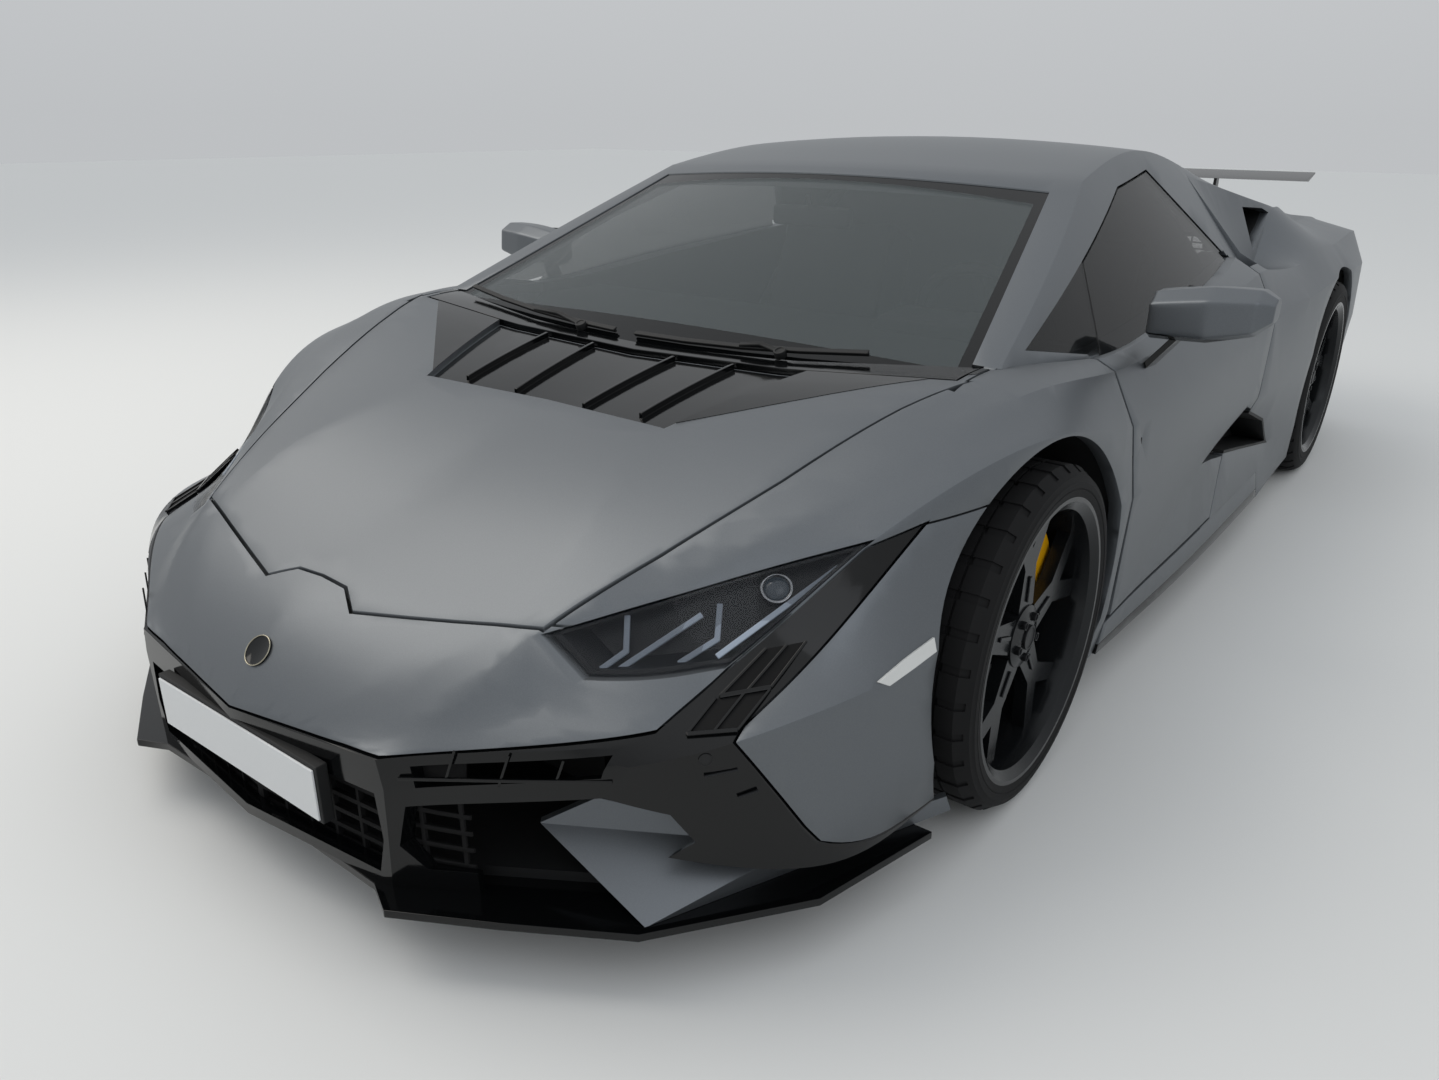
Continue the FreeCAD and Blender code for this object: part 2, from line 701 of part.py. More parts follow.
lens_depth = size("lens_depth")
lens_inner = skin(NOSE_ROWS, lens_depth, start=lens_depth, end=60)
lens = nose_outer.cut(lens_inner).common(lamp_prism())
keep_pair("headlights", drawn_piece("headlights", solids(lens)))
lamp_depth = size("lamp_depth")
bowl_wall = 5
bowl_outer = skin(NOSE_ROWS, lens_depth + 0.3, start=lens_depth, end=60)
bowl = bowl_outer.cut(skin(NOSE_ROWS, lamp_depth, start=lamp_depth, end=60)).common(lamp_prism())
bowl_space = skin(NOSE_ROWS, lamp_depth - bowl_wall, start=lamp_depth - bowl_wall, end=60)
bowl = bowl.cut(lamp_prism(-bowl_wall).cut(bowl_space)).cut(hood_seam)
keep_pair("lamp_bowls", drawn_piece("lamp_bowls", solids(bowl)))

fender = without(nose_shell, hood_seam, *nose_seam, *lamp_seam, *fascia_seam, *flank_seam, cockpit)
fender = fender.cut(front_arch)
hinge_pin = cylinder(pin_radius, (ear_near + 2, hood_axis.y, hood_axis.z),
                     (ear_far + moving_gap + 6, hood_axis.y, hood_axis.z))
twin("fender_R", keep("fender_L", solids(fender, 50000).fuse(hinge_pin)))

cowl = nose_shell.common(box((-1, front_axle - 60, 300), (ear_near - moving_gap, front_axle + 140, 900)))
cowl = without(cowl, hood_seam, screen_hole())
keep("cowl_panel", solids(both(cowl), 1000))

# Doors
def door_inner_rows(wall):
    """The door rows as an open-topped inner space a wall inside the skin."""
    rows = []
    for row in DOOR_ROWS:
        points = list(row[3:])
        inner = [(0, 1200), (400, 1200), (points[2][0] - wall, 1200)]
        inner += [(x - wall, z) for x, z in points[3:-1]] + [(points[-1][0] - wall, -20)]
        rows.append(row[:3] + tuple(inner))
    return rows


door_wall = size("door_wall")
door_space = skin(door_inner_rows(door_wall))
door_shell = door_outer.cut(door_space)
door_side = side_from(front_axle, DOOR)
door = door_shell.common(side(door_side, 500, 1200, -moving_gap / 2))
door = door.cut(box((0, -far, 0), (far, door_front + size("door_lead_gap"), far)))
intake = side(side_from(front_axle, INTAKE), 830, 1200)
door = solids(door.cut(side(side_from(front_axle, INTAKE), 700, 1200, moving_gap)), 50000)
hinge_x = half_width - size("door_hinge_inset")
hinge_y = door_front + size("door_hinge_back")
HINGE_HEIGHTS = (400.0, 560.0)
arm_half = 12.0
brackets = []
for height in HINGE_HEIGHTS:
    slot = box((600, door_front - 20, height - arm_half - moving_gap),
               (hinge_x + 6, hinge_y + pin_radius + 2, height + arm_half + moving_gap))
    bore = cylinder(pin_bore, (hinge_x, hinge_y, height - 45), (hinge_x, hinge_y, height + 45))
    door = door.cut(slot).cut(bore)
    pin = cylinder(pin_radius, (hinge_x, hinge_y, height - 40), (hinge_x, hinge_y, height + 40))
    arm = plan([(hinge_x - 3, hinge_y + 4), (hinge_x + 5, hinge_y), (hinge_x + 3, hinge_y - 5),
                (812, door_front - 14), (790, door_front - 14), (790, door_front + 6)],
               height - arm_half, height + arm_half)
    brackets.append(arm.fuse(pin))
glass_slot = greenhouse(glass_inset - seat_gap).cut(greenhouse(glass_inset + glass_thickness + seat_gap))
drop = 28.0
sash = [(y, z - drop) for y, z in side_from(front_axle, WINDOW)[1:3]]
sash_side = [sash[0], sash[1], (sash[1][0] - 20, sash[1][1] + 200), (sash[0][0] + 20, sash[0][1] + 200)]
door = door.cut(glass_slot.common(side(sash_side, 500, 1200, 1)))
twin("door_R", keep("door_L", door))

# Rear quarters, engine cover and rear bumper
COVER = ((-1, -872), (505, -872), (430, 470), (-1, 490))
cover_gap = size("cover_gap")


def cover_prism(grow=0.0):
    """The engine cover's plan outline as a prism."""
    return plan([(x, y + rear_axle) for x, y in COVER], 700, 1400, grow)


cover_front = box((-far, door_rear - 1, 0), (far, door_rear + cover_gap, 2000))
cover = tail_shell.common(cover_prism()).cut(cover_front)
ear_low, ear_high = cover_axis.z - cover_ear_radius, cover_axis.z + cover_ear_radius
cover_ear = box((cover_ear_near, door_rear, ear_low - 10), (cover_ear_far, door_rear + 40, ear_high))
cover_ear = cover_ear.common(tail_outer)
cover_ear = cover_ear.fuse(box((cover_ear_near, cover_axis.y, ear_low),
                               (cover_ear_far, door_rear, ear_high - 1)))
cover_ear = cover_ear.fuse(cylinder(cover_ear_radius, (cover_ear_near, cover_axis.y, cover_axis.z),
                                    (cover_ear_far, cover_axis.y, cover_axis.z)))
cover = cover.fuse(cover_ear)
cover = cover.cut(cylinder(pin_bore, (200, cover_axis.y, cover_axis.z), (400, cover_axis.y, cover_axis.z)))
VENT = ((70, 30), (395, -10), (390, 60), (70, 100))
vent_count = 5
vent_pitch = 210
for vent in range(vent_count):
    start = rear_axle - 740 + vent * vent_pitch
    cover = cover.cut(plan([(x, y + start) for x, y in VENT], 700, 1400))
keep("engine_cover", solids(both(cover)))
bumper_start = half_length - 260
bumper_box = box((-far, bumper_start, -50), (far, far, 2000))
SCOOP = ((-475, 955), (-462, 822), (-330, 890), (-268, 928), (-320, 944))
scoop = [(y + rear_axle, z) for y, z in SCOOP]
quarter = tail_shell.cut(side(scoop, 560, 752)).cut(bumper_box).cut(cover_prism(moving_gap)).cut(rear_arch)
flank_rear = door_outer.cut(skin(door_inner_rows(panel_wall)))
flank_rear = flank_rear.cut(side(door_side, 500, 1200, moving_gap / 2))
flank_rear = flank_rear.common(box((500, front_axle + 1150, 199), (1200, door_rear, 900)))
quarter = solids(quarter.fuse(flank_rear), 50000).cut(intake)
bumper = tail_shell.common(bumper_box).cut(box((-far, -far, -60), (far, far, 215)))
quarter = quarter.cut(box((-far, rear_axle + 300, -60), (far, far, 165)))
REAR_OPENING = ((-1, 470), (330, 470), (700, 520), (775, 640), (700, 735), (-1, 735))
bumper = bumper.cut(front(REAR_OPENING, half_length - 60, half_length + 10)).cut(cover_prism(moving_gap))
keep("rear_bumper", solids(both(bumper), 5000))
twin("quarter_R", keep("quarter_L", quarter))

# Sills
skirt = door_outer.cut(skin(door_inner_rows(panel_wall)))
skirt = skirt.common(box((500, -far, -60), (1200, far, 199 - seat_gap)))
keep_pair("side_skirts", drawn_piece("side_skirts", solids(skirt, 5000)))


# Parametric pieces, bound to the sheet

ALIASES = [alias for alias, value in SIZES]
FRONT_AXLE = "(front_overhang - overall_length / 2)"
REAR_AXLE = "(front_overhang + wheelbase - overall_length / 2)"
ALONG_X = Rotation(Vector(0, 1, 0), 90)
ALONG_Y = Rotation(Vector(1, 0, 0), -90)


def formula(value):
    """A number, or a formula of the sheet's aliases, in the form that the document reads."""
    def cell(word):
        return "sizes." + word.group() if word.group() in ALIASES else word.group()
    return re.sub("[a-z_]+", cell, str(value))


def bind(item, **values):
    """Bind properties of an object to formulas of the sheet."""
    for name, value in values.items():
        item.setExpression(name, formula(value))


def place(item, x, y, z, turn=None):
    """Put an object at a point given by three formulas, with a rotation."""
    if turn is not None:
        item.Placement = Placement(Vector(0, 0, 0), turn)
    for axis, value in (("x", x), ("y", y), ("z", z)):
        item.setExpression("Placement.Base." + axis, formula(value))
    return item


def solid_of(kind, name, at, turn=None, **values):
    """A Part primitive with its sizes and its place bound to the sheet."""
    item = doc.addObject("Part::" + kind, name)
    bind(item, **values)
    return place(item, *at, turn=turn)


def joined(name, pieces):
    """Several solids as one."""
    item = doc.addObject("Part::MultiFuse", name)
    item.Shapes = pieces
    item.Refine = True
    return item


def less(name, base, tool):
    """A solid less another."""
    item = doc.addObject("Part::Cut", name)
    item.Base = base
    item.Tool = tool
    return item


def ready(name, item):
    """Make an object a sub-part under its node name."""
    item.Label = name
    parts[name] = item
    return item


def new_body(name, at, turn=None):
    """An empty body at a place."""
    return place(doc.addObject("PartDesign::Body", name), *at, turn=turn)


def plane_of(body, role):
    """One of a body's own origin planes or axes."""
    return next(feature for feature in body.Origin.OriginFeatures if feature.Role == role)


def sketch_on(body, name, role, points, offset=0, bores=()):
    """A closed outline with bound corners on one of a body's planes, and round bores (a, b, radius)."""
    sketch = body.newObject("Sketcher::SketchObject", name)
    sketch.AttachmentSupport = [(plane_of(body, role), "")]
    sketch.MapMode = "FlatFace"
    sketch.setExpression("AttachmentOffset.Base.z", formula(offset))
    count = len(points)
    turns = [2 * math.pi * i / count for i in range(count)]
    start = [Vector(100 * math.cos(turn), 100 * math.sin(turn), 0) for turn in turns]
    sketch.addGeometry([Part.LineSegment(a, b) for a, b in zip(start, start[1:] + start[:1])], False)
    sketch.addConstraint([Sketcher.Constraint("Coincident", i, 2, (i + 1) % count, 1) for i in range(count)])
    targets = []
    for i, ((a, b), corner) in enumerate(zip(points, start)):
        targets.append((Sketcher.Constraint("DistanceX", -1, 1, i, 1, corner.x), a))
        targets.append((Sketcher.Constraint("DistanceY", -1, 1, i, 1, corner.y), b))
    for i, (a, b, radius) in enumerate(bores, start=count):
        sketch.addGeometry(Part.Circle(Vector(0, 0, 0), Vector(0, 0, 1), 10), False)
        targets.append((Sketcher.Constraint("DistanceX", -1, 1, i, 3, 0), a))
        targets.append((Sketcher.Constraint("DistanceY", -1, 1, i, 3, 0), b))
        targets.append((Sketcher.Constraint("Radius", i, 10), radius))
    for constraint, value in targets:
        index = sketch.addConstraint(constraint)
        sketch.setExpression("Constraints[%d]" % index, formula(value))
    doc.recompute()
    return sketch


def pad(body, sketch, length, middle=False, back=False):
    """A sketch given a thickness."""
    item = body.newObject("PartDesign::Pad", sketch.Name + "_pad")
    item.Profile = sketch
    item.Midplane = middle
    item.Reversed = back
    bind(item, Length=length)
    return item


def revolved(body, sketch, angle=360, middle=False):
    """A sketch turned about its own first axis."""
    item = body.newObject("PartDesign::Revolution", sketch.Name + "_turn")
    item.Profile = sketch
    item.ReferenceAxis = (sketch, ["H_Axis"])
    item.Midplane = middle
    bind(item, Angle=angle)
    return item


def half_and_mirror(half):
    """A closed outline from its half, whose first and last points lie on the middle line or beside it."""
    return list(half) + [("-(%s)" % a, b) for a, b in reversed(half) if str(a) != "0"]


# Wheels

HALF_RIM = "{axle}_tyre_width / 2"
FACE = "({axle}_tyre_width / 2 - 70)"
DISC = "({axle}_tyre_width / 2 - 107.3 - disc_thickness)"
# Profiles (along the axle from the wheel's middle, radius).
BEAD = ((14.4, "rim_seat_radius + 0.3"), (13.2, "rim_lip_radius + 0.3"), (4, "rim_lip_radius + 0.3"),
        (1, "rim_lip_radius + 20"), (5, "{axle}_tyre_radius - 26"), (20, "{axle}_tyre_radius - 6"),
        (46, "{axle}_tyre_radius"))
BARREL = (
    ("14 - " + HALF_RIM, "rim_seat_radius"), ("12.5 - " + HALF_RIM, "rim_lip_radius"),
    ("4.5 - " + HALF_RIM, "rim_lip_radius"), ("4.5 - " + HALF_RIM, "rim_lip_radius - 8"),
    ("11 - " + HALF_RIM, "rim_seat_radius - barrel_wall"),
    (HALF_RIM + " - 45", "rim_seat_radius - barrel_wall - 6"),
    (HALF_RIM + " - 16", "rim_seat_radius - barrel_wall"), (HALF_RIM + " - 4", "rim_lip_radius - 8"),
    (HALF_RIM + " - 4", "rim_lip_radius"), (HALF_RIM + " - 12.5", "rim_lip_radius"),
    (HALF_RIM + " - 14", "rim_seat_radius"),
)
HUB = (
    (FACE + " - 25", "hub_bore_radius"), (FACE + " - 25", "hub_radius"), (FACE + " + 25", "hub_radius - 8"),
    (FACE + " + 32", 30), (FACE + " + 32", 0), (FACE + " + 12", 0), (FACE + " + 12", "hub_bore_radius"),
)
# Half outline (across, from the axle) of a spoke: a wide stem that parts into two branches.
ARM_END = "(rim_seat_radius - barrel_wall + 3)"
ARM = (
    (0, 50), (33, 56), (25, 138), (ARM_END + " * sin(19.5 deg)", ARM_END + " * cos(19.5 deg)"),
    (ARM_END + " * sin(11 deg)", ARM_END + " * cos(11 deg)"), (0, 176),
)
ROTOR = (
    (DISC, 95), (DISC, "disc_radius"), (DISC + " + disc_thickness", "disc_radius"),
    (DISC + " + disc_thickness", 95),
    (DISC + " + disc_thickness + 12", 85), (DISC + " + disc_thickness + 12", "hub_bore_radius"),
    (DISC + " + disc_thickness + 2", "hub_bore_radius"), (DISC + " + disc_thickness + 2", 78), (DISC, 78),
)
CALIPER = (
    (DISC + " - 34", 118), (DISC + " - 34", "disc_radius + 28"),
    (DISC + " + disc_thickness + 26", "disc_radius + 24"),
    (DISC + " + disc_thickness + 26", 128), (DISC + " + disc_thickness + caliper_clearance", 128),
    (DISC + " + disc_thickness + caliper_clearance", "disc_radius + caliper_clearance"),
    (DISC + " - caliper_clearance", "disc_radius + caliper_clearance"), (DISC + " - caliper_clearance", 118),
)


def for_axle(points, axle):
    """A profile with the aliases of one axle."""
    return [tuple(str(value).format(axle=axle) for value in point) for point in points]


def wheel_pieces(corner, axle, centre):
    """A tyre, its rim and its brake disc, each turned about the axle."""
    half = ("{axle}_tyre_width / 2").format(axle=axle)
    bead = for_axle(BEAD, axle)
    section = [("%s - %s" % (a, half), b) for a, b in bead]
    section += [("%s - %s" % (half, a), b) for a, b in reversed(bead)]
    tyre = new_body("tyre_" + corner, centre)
    revolved(tyre, sketch_on(tyre, "tread_" + corner, "XZ_Plane", section))
    rim = new_body("rim_" + corner, centre)
    revolved(rim, sketch_on(rim, "hub_" + corner, "XZ_Plane", for_axle(HUB, axle)))
    arm_start = (FACE + " - 4").format(axle=axle)
    arm_sketch = sketch_on(rim, "arm_" + corner, "YZ_Plane", half_and_mirror(ARM), arm_start)
    arm = pad(rim, arm_sketch, "spoke_thickness")
    doc.recompute()
    pattern = rim.newObject("PartDesign::PolarPattern", "spokes_" + corner)
    pattern.Originals = [arm]
    pattern.Axis = (plane_of(rim, "X_Axis"), [""])
    pattern.Angle = 360
    bind(pattern, Occurrences="spoke_count")
    rim.Tip = pattern
    doc.recompute()
    revolved(rim, sketch_on(rim, "barrel_" + corner, "XZ_Plane", for_axle(BARREL, axle)))
    disc = new_body("disc_" + corner, centre)
    revolved(disc, sketch_on(disc, "rotor_" + corner, "XZ_Plane", for_axle(ROTOR, axle)))
    return tyre, rim, disc


def brake_caliper(corner, axle, centre, angle):
    """A caliper over the disc, at an angle from the top of the wheel."""
    caliper = new_body("caliper_" + corner, centre, Rotation(Vector(1, 0, 0), angle))
    sketch = sketch_on(caliper, "jaws_" + corner, "XZ_Plane", for_axle(CALIPER, axle))
    revolved(caliper, sketch, 62, middle=True)
    return caliper


def hub_carrier(corner, axle, centre, tab_start, kingpin):
    """The carrier behind a disc, with the spindle, the caliper's tab and the pads for the wishbones."""
    x, y, z = centre
    back = ("%s + %s - caliper_clearance" % (x, DISC)).format(axle=axle)
    face = ("%s + %s" % (x, FACE)).format(axle=axle)
    pieces = [
        solid_of("Cylinder", "drum_" + corner, (back + " - 62", y, z), ALONG_X, Radius=72, Height=62),
        solid_of("Box", "post_" + corner, (back + " - 54", y + " - 34", z + " - 122"),
                 Length=46, Width=68, Height=254),
        solid_of("Box", "tab_" + corner, (back + " - 52", y + tab_start, z + " - 30"),
                 Length="18 + caliper_clearance", Width=175, Height=60),
        solid_of("Cylinder", "spindle_" + corner, (back + " - 5", y, z), ALONG_X, Radius="spindle_radius",
                 Height="%s + 8 - (%s) + 5" % (face, back)),
    ]
    if kingpin:
        pieces.append(solid_of("Cylinder", "kingpin_" + corner, (x + " - kingpin_offset", y, z + " - 146"),
                               Radius="kingpin_radius", Height=300))
    return joined("carrier_" + corner, pieces)


FRONT_CENTRE = ("front_track / 2", FRONT_AXLE, "front_tyre_radius")
REAR_CENTRE = ("rear_track / 2", REAR_AXLE, "rear_tyre_radius")
for corner, right, axle, centre in (("FL", "FR", "front", FRONT_CENTRE), ("RL", "RR", "rear", REAR_CENTRE)):
    for piece in wheel_pieces(corner, axle, centre):
        ready(piece.Name, piece)
        twin(piece.Name.replace(corner, right), piece)
front_caliper = ready("caliper_FL", brake_caliper("FL", "front", FRONT_CENTRE, -67))
twin("caliper_FR", front_caliper)
keep_pair("calipers_rear", brake_caliper("RL", "rear", REAR_CENTRE, 67))
knuckle = ready("knuckle_L", hub_carrier("FL", "front", FRONT_CENTRE, "", True))
twin("knuckle_R", knuckle)
keep_pair("rear_knuckles", hub_carrier("RL", "rear", REAR_CENTRE, " - 175", False))

# Painted winglet: outer corners and the triangles between them, given a thickness inwards
WINGLET = ((488, -826, 203), (560, -771, 250), (812, -590, 172), (706, -832, 122.3), (922, -305, 150),
           (930, -300, 122.3))
TRIANGLES = ((0, 1, 2), (0, 2, 3), (3, 2, 4), (3, 4, 5))
RIM_ORDER = (0, 1, 2, 4, 5, 3)
INWARD = Vector(-9, 11, 0)
outer = [Vector(x, y + front_axle, z) for x, y, z in WINGLET]
inner = [corner + INWARD for corner in outer]
faces = [[outer[i] for i in t] for t in TRIANGLES] + [[inner[i] for i in reversed(t)] for t in TRIANGLES]
for i, j in zip(RIM_ORDER, RIM_ORDER[1:] + RIM_ORDER[:1]):
    faces += [[outer[i], inner[i], outer[j]], [outer[j], inner[i], inner[j]]]
shell = Part.makeShell([Part.Face(Part.makePolygon(f + [f[0]])) for f in faces])
shell.sewShape()
winglet = Part.makeSolid(shell)
if winglet.Volume < 0:
    winglet.reverse()
keep_pair("winglets", drawn_piece("winglets", winglet))

# Wheel arch liners and the ducts behind the side intakes
liners = []
nose_space = skin(NOSE_ROWS, panel_wall + seat_gap, start=panel_wall, end=60)
tail_space = skin(TAIL_ROWS, panel_wall + seat_gap, start=-60, end=-panel_wall)
for hub, arch_radius, space in (
        (front_hub, size("front_arch_radius"), nose_space),
        (rear_hub, size("rear_arch_radius"), tail_space)):
    liner_radius = arch_radius + size("liner_clearance")
    liner = arch(hub, liner_radius + size("liner_wall"), 470).cut(arch(hub, liner_radius, 460))
    liner = liner.common(space).cut(box((0, -far, -100), (far, far, floor_top + seat_gap)))
    if hub is front_hub:
        liner = liner.cut(box((0, door_front - 30, 0), (far, far, far))).cut(winglet)
    else:
        tray = side(scoop, 585, 760, 8).cut(side(scoop, 593, 770))
        liners.append(solids(tray.common(space)))
    liners += [s for s in liner.Solids]
intake_side = side_from(front_axle, INTAKE)
duct = side(intake_side, 830, 1000, -seat_gap).cut(side(intake_side, 838, 1010, -8))
duct = duct.cut(side(door_side, 500, 1200, moving_gap))
liners.append(solids(duct.common(tail_outer.fuse(door_outer)), 5000))
keep("arch_liners", Part.makeCompound(liners + [mirrored(one) for one in liners]))

# Wishbones from the tub to the carriers: plan outline from the pad's middle and the axle
ARM_ROOT = 452
REAR_PAD = ("rear_track / 2 + " + DISC + " - caliper_clearance - 31").format(axle="rear")
wishbones = []
for label, centre, pad_x, bore in (
        ("front", FRONT_CENTRE, "front_track / 2 - kingpin_offset", "kingpin_radius + pin_clearance"),
        ("rear", REAR_CENTRE, REAR_PAD, None)):
    outline = [(pad_x + " + 24", -18), (pad_x + " + 24", 18), (pad_x + " - 24", 24), (ARM_ROOT, 190),
               (ARM_ROOT, 140), (pad_x + " - 120", 0), (ARM_ROOT, -140), (ARM_ROOT, -190),
               (pad_x + " - 24", -24)]
    for level, base, thickness in (("lower", -144.3, 22), ("upper", 132.3, 20)):
        arm = new_body("%s_%s_arm" % (label, level), (0, centre[1], "%s + %s" % (centre[2], base)))
        bores = [(pad_x, 0, bore)] if bore else []
        pad(arm, sketch_on(arm, arm.Name + "_outline", "XY_Plane", outline, bores=bores), thickness)
        wishbones.append(arm)
doc.recompute()
arms_left = doc.addObject("Part::Compound", "wishbones_left")
arms_left.Links = wishbones
keep_pair("wishbones", arms_left)

# Floor tub with front trunk, sills, tunnel and bulkheads
FLOOR = ((-1, -980), (330, -960), (620, -780), (640, -430), (446, -400), (446, 430), (860, 450), (860, 1800),
         (446, 1850 + 330), (446, 3040), (-1, 3140))
tub = plan(from_front(FLOOR), floor_z, floor_top)
sill_side = half_width - size("door_wall") - 36
tub = tub.fuse(box((750, front_axle + 450, floor_z), (sill_side - 20, front_axle + 1790, 300)))
tub = tub.fuse(box((-1, front_axle + 260, floor_z), (120, front_axle + 1790, 400)))
FIREWALL = ((-1, 215), (446, 215), (446, 400), (sill_side - 13, 400), (sill_side - 13, 450), (400, 450),
            (400, 260), (-1, 260))
tub = tub.fuse(plan(from_front(FIREWALL), floor_z, 469.7))
tub = tub.fuse(box((746, front_axle + 400, 400), (sill_side - 13, front_axle + 450, 600)))
BULKHEAD = ((-1, floor_z), (760, floor_z), (740, 740), (600, 925), (480, 1058), (-1, 1066))
tub = tub.fuse(front(BULKHEAD, front_axle + 1745, front_axle + 1773))
frame_side = 451.7
trunk = box((-1, front_axle - 640, 240), (frame_side, front_axle + 215, 600)).cut(
    box((-2, front_axle - 622, 258), (430, front_axle + 197, 700)))
hood_space = skin(NOSE_ROWS, panel_wall + moving_gap, start=panel_wall, end=60)
tub = tub.fuse(trunk.common(hood_space))
tub = tub.fuse(box((-1, front_axle - 640, floor_z), (450, front_axle - 600, 260)))
rail = box((400, front_axle + 1773, floor_z), (frame_side, half_length - 330.3, 300)).fuse(
    box((400, front_axle + 1773, 440), (frame_side, half_length - 330.3, 510)))
rail = rail.fuse(box((400, rear_axle - 200, 250), (frame_side, rear_axle + 200, 460)))
tub = tub.fuse(rail)
tub = tub.fuse(brackets[0]).fuse(brackets[1])
keep("floor_tub", solids(tub.fuse(mirrored(tub))))

# Engine and gearbox as one block
ENGINE_START = FRONT_AXLE + " + 1850"
ENGINE_END = REAR_AXLE + " + 420"
ready("engine_block", solid_of(
    "Box", "engine_block", ("-engine_width / 2", ENGINE_START, "ground_clearance + floor_thickness"),
    Length="engine_width", Width="%s - (%s)" % (ENGINE_END, ENGINE_START),
    Height="760 - ground_clearance - floor_thickness"))

# Splitter under the nose
SPLITTER = ((0, -1008), (315, -1013), (376, -1041), (532, -954), (707, -848), (873, -622), (932, -372),
            (840, -372), (640, -560), (300, -760), (0, -760))
splitter = new_body("splitter", (0, FRONT_AXLE, "ground_clearance - splitter_thickness"))
splitter_sketch = sketch_on(splitter, "splitter_outline", "XY_Plane", half_and_mirror(SPLITTER))
pad(splitter, splitter_sketch, "splitter_thickness")
ready("splitter", splitter)

# Rear diffuser with its channels
DIFFUSER = ((0, -330), (0, -32), (640, -66), (700, -330))
diffuser = new_body("diffuser_block", (0, "overall_length / 2", 150))
pad(diffuser, sketch_on(diffuser, "diffuser_outline", "XY_Plane", half_and_mirror(DIFFUSER)[1:]), 140)
channels = []
for i, x in enumerate((-550, -410, -270, -130, 20, 160, 300, 440)):
    channels.append(solid_of("Box", "channel_%d" % i, (x, "overall_length / 2 - 340", 138),
                             Rotation(Vector(1, 0, 0), 12), Length=110, Width=400, Height=122))
ready("diffuser", less("diffuser", diffuser, joined("channels", channels)))

# Rear wing on two blades
WING = ((0, 0), (60, 12), ("wing_chord", 30), ("wing_chord", 24), (60, -4))
BLADE = ((10, -135), (70, -135), (70, 3), (30, 3))
wing = new_body("wing_profile", (0, "overall_length / 2 - wing_chord", "wing_height"))
pad(wing, sketch_on(wing, "wing_section", "YZ_Plane", WING), "wing_span", middle=True)
for side_name, x in (("left", 288), ("right", -300)):
    pad(wing, sketch_on(wing, "blade_" + side_name, "YZ_Plane", BLADE, x), 12)
tail_raised = tail_outer.fuse(mirrored(tail_outer))
tail_raised.translate(Vector(0, 0, 0.3))
deck = doc.addObject("Part::Feature", "deck_clearance")
deck.Shape = tail_raised
ready("rear_wing", less("rear_wing", wing, deck))

# Tail lamps, mesh and tail pipes
LAMP_ARMS = ((440, 626), (606, 636), (690, 712), (706, 698), (634, 622), (694, 546), (674, 534), (600, 604),
             (440, 606))
lamp = new_body("tail_lamp", (0, "overall_length / 2 - 5", 0))
pad(lamp, sketch_on(lamp, "lamp_arms", "XZ_Plane", LAMP_ARMS), "panel_wall - 5")
keep_pair("tail_lamps", lamp)
panel_face = half_length - panel_wall - 0.3
rear_grille = front(REAR_OPENING, panel_face - size("grille_depth"), panel_face, 12)
for level in range(9):
    low = 482 + level * 28
    for near in range(6, 420, 69):
        rear_grille = rear_grille.cut(box((near, half_length - 60, low), (near + 63, half_length, low + 22)))
pipe_z = 540
pipe_x = size("exhaust_spread")
hole = cylinder(size("exhaust_radius") + 3, (pipe_x, half_length - 80, pipe_z), (pipe_x, half_length, pipe_z))
rear_grille = rear_grille.cut(hole).common(box((0, 0, 0), (far, far, far)))
keep("rear_grille", solids(both(rear_grille), 1500))
PIPE_START = ENGINE_END + " + 0.3"
pipe = solid_of("Cylinder", "pipe", ("exhaust_spread", PIPE_START, pipe_z), ALONG_Y, Radius="exhaust_radius",
                Height="overall_length / 2 - 15 - (%s)" % PIPE_START)
bore = solid_of("Cylinder", "pipe_bore", ("exhaust_spread", "overall_length / 2 - 250", pipe_z), ALONG_Y,
                Radius="exhaust_radius - 4", Height=300)
keep_pair("exhaust_tips", less("exhaust_tip", pipe, bore))

# Mirrors
mirror_out = size("mirror_span") / 2
# Side outlines (y from the front axle, z) of the mirror head at four places across the car, and of its
# arm at two.
MIRROR_HEAD = (
    (884, ((566, 800), (600, 786), (650, 790), (668, 806), (668, 868), (650, 884), (600, 884), (566, 862))),
    (1000, ((548, 806), (590, 790), (650, 798), (668, 814), (668, 888), (650, 902), (596, 904), (552, 880))),
    (1088, ((560, 824), (600, 812), (648, 818), (662, 830), (662, 888), (648, 902), (604, 904), (566, 884))),
    (mirror_out, ((590, 846), (606, 840), (636, 844), (644, 850), (644, 878), (636, 886), (608, 888),
                  (592, 876))),
)
STALK = (
    (880, ((570, 705), (640, 700), (640, 722), (570, 727))),
    (960, ((605, 812), (650, 806), (650, 824), (605, 830))),
)


def lofted(outlines):
    """A solid through side outlines that stand at given places across the car."""
    wires = []
    for x, outline in outlines:
        wires.append(wire_at(side_from(front_axle, outline), lambda a, b, x=x: Vector(x, a, b)))
    return Part.makeLoft(wires, True, True)


mirror_left = lofted(MIRROR_HEAD).fuse(lofted(STALK)).cut(door_outer).cut(door)
twin("mirror_R", keep("mirror_L", solids(mirror_left)))

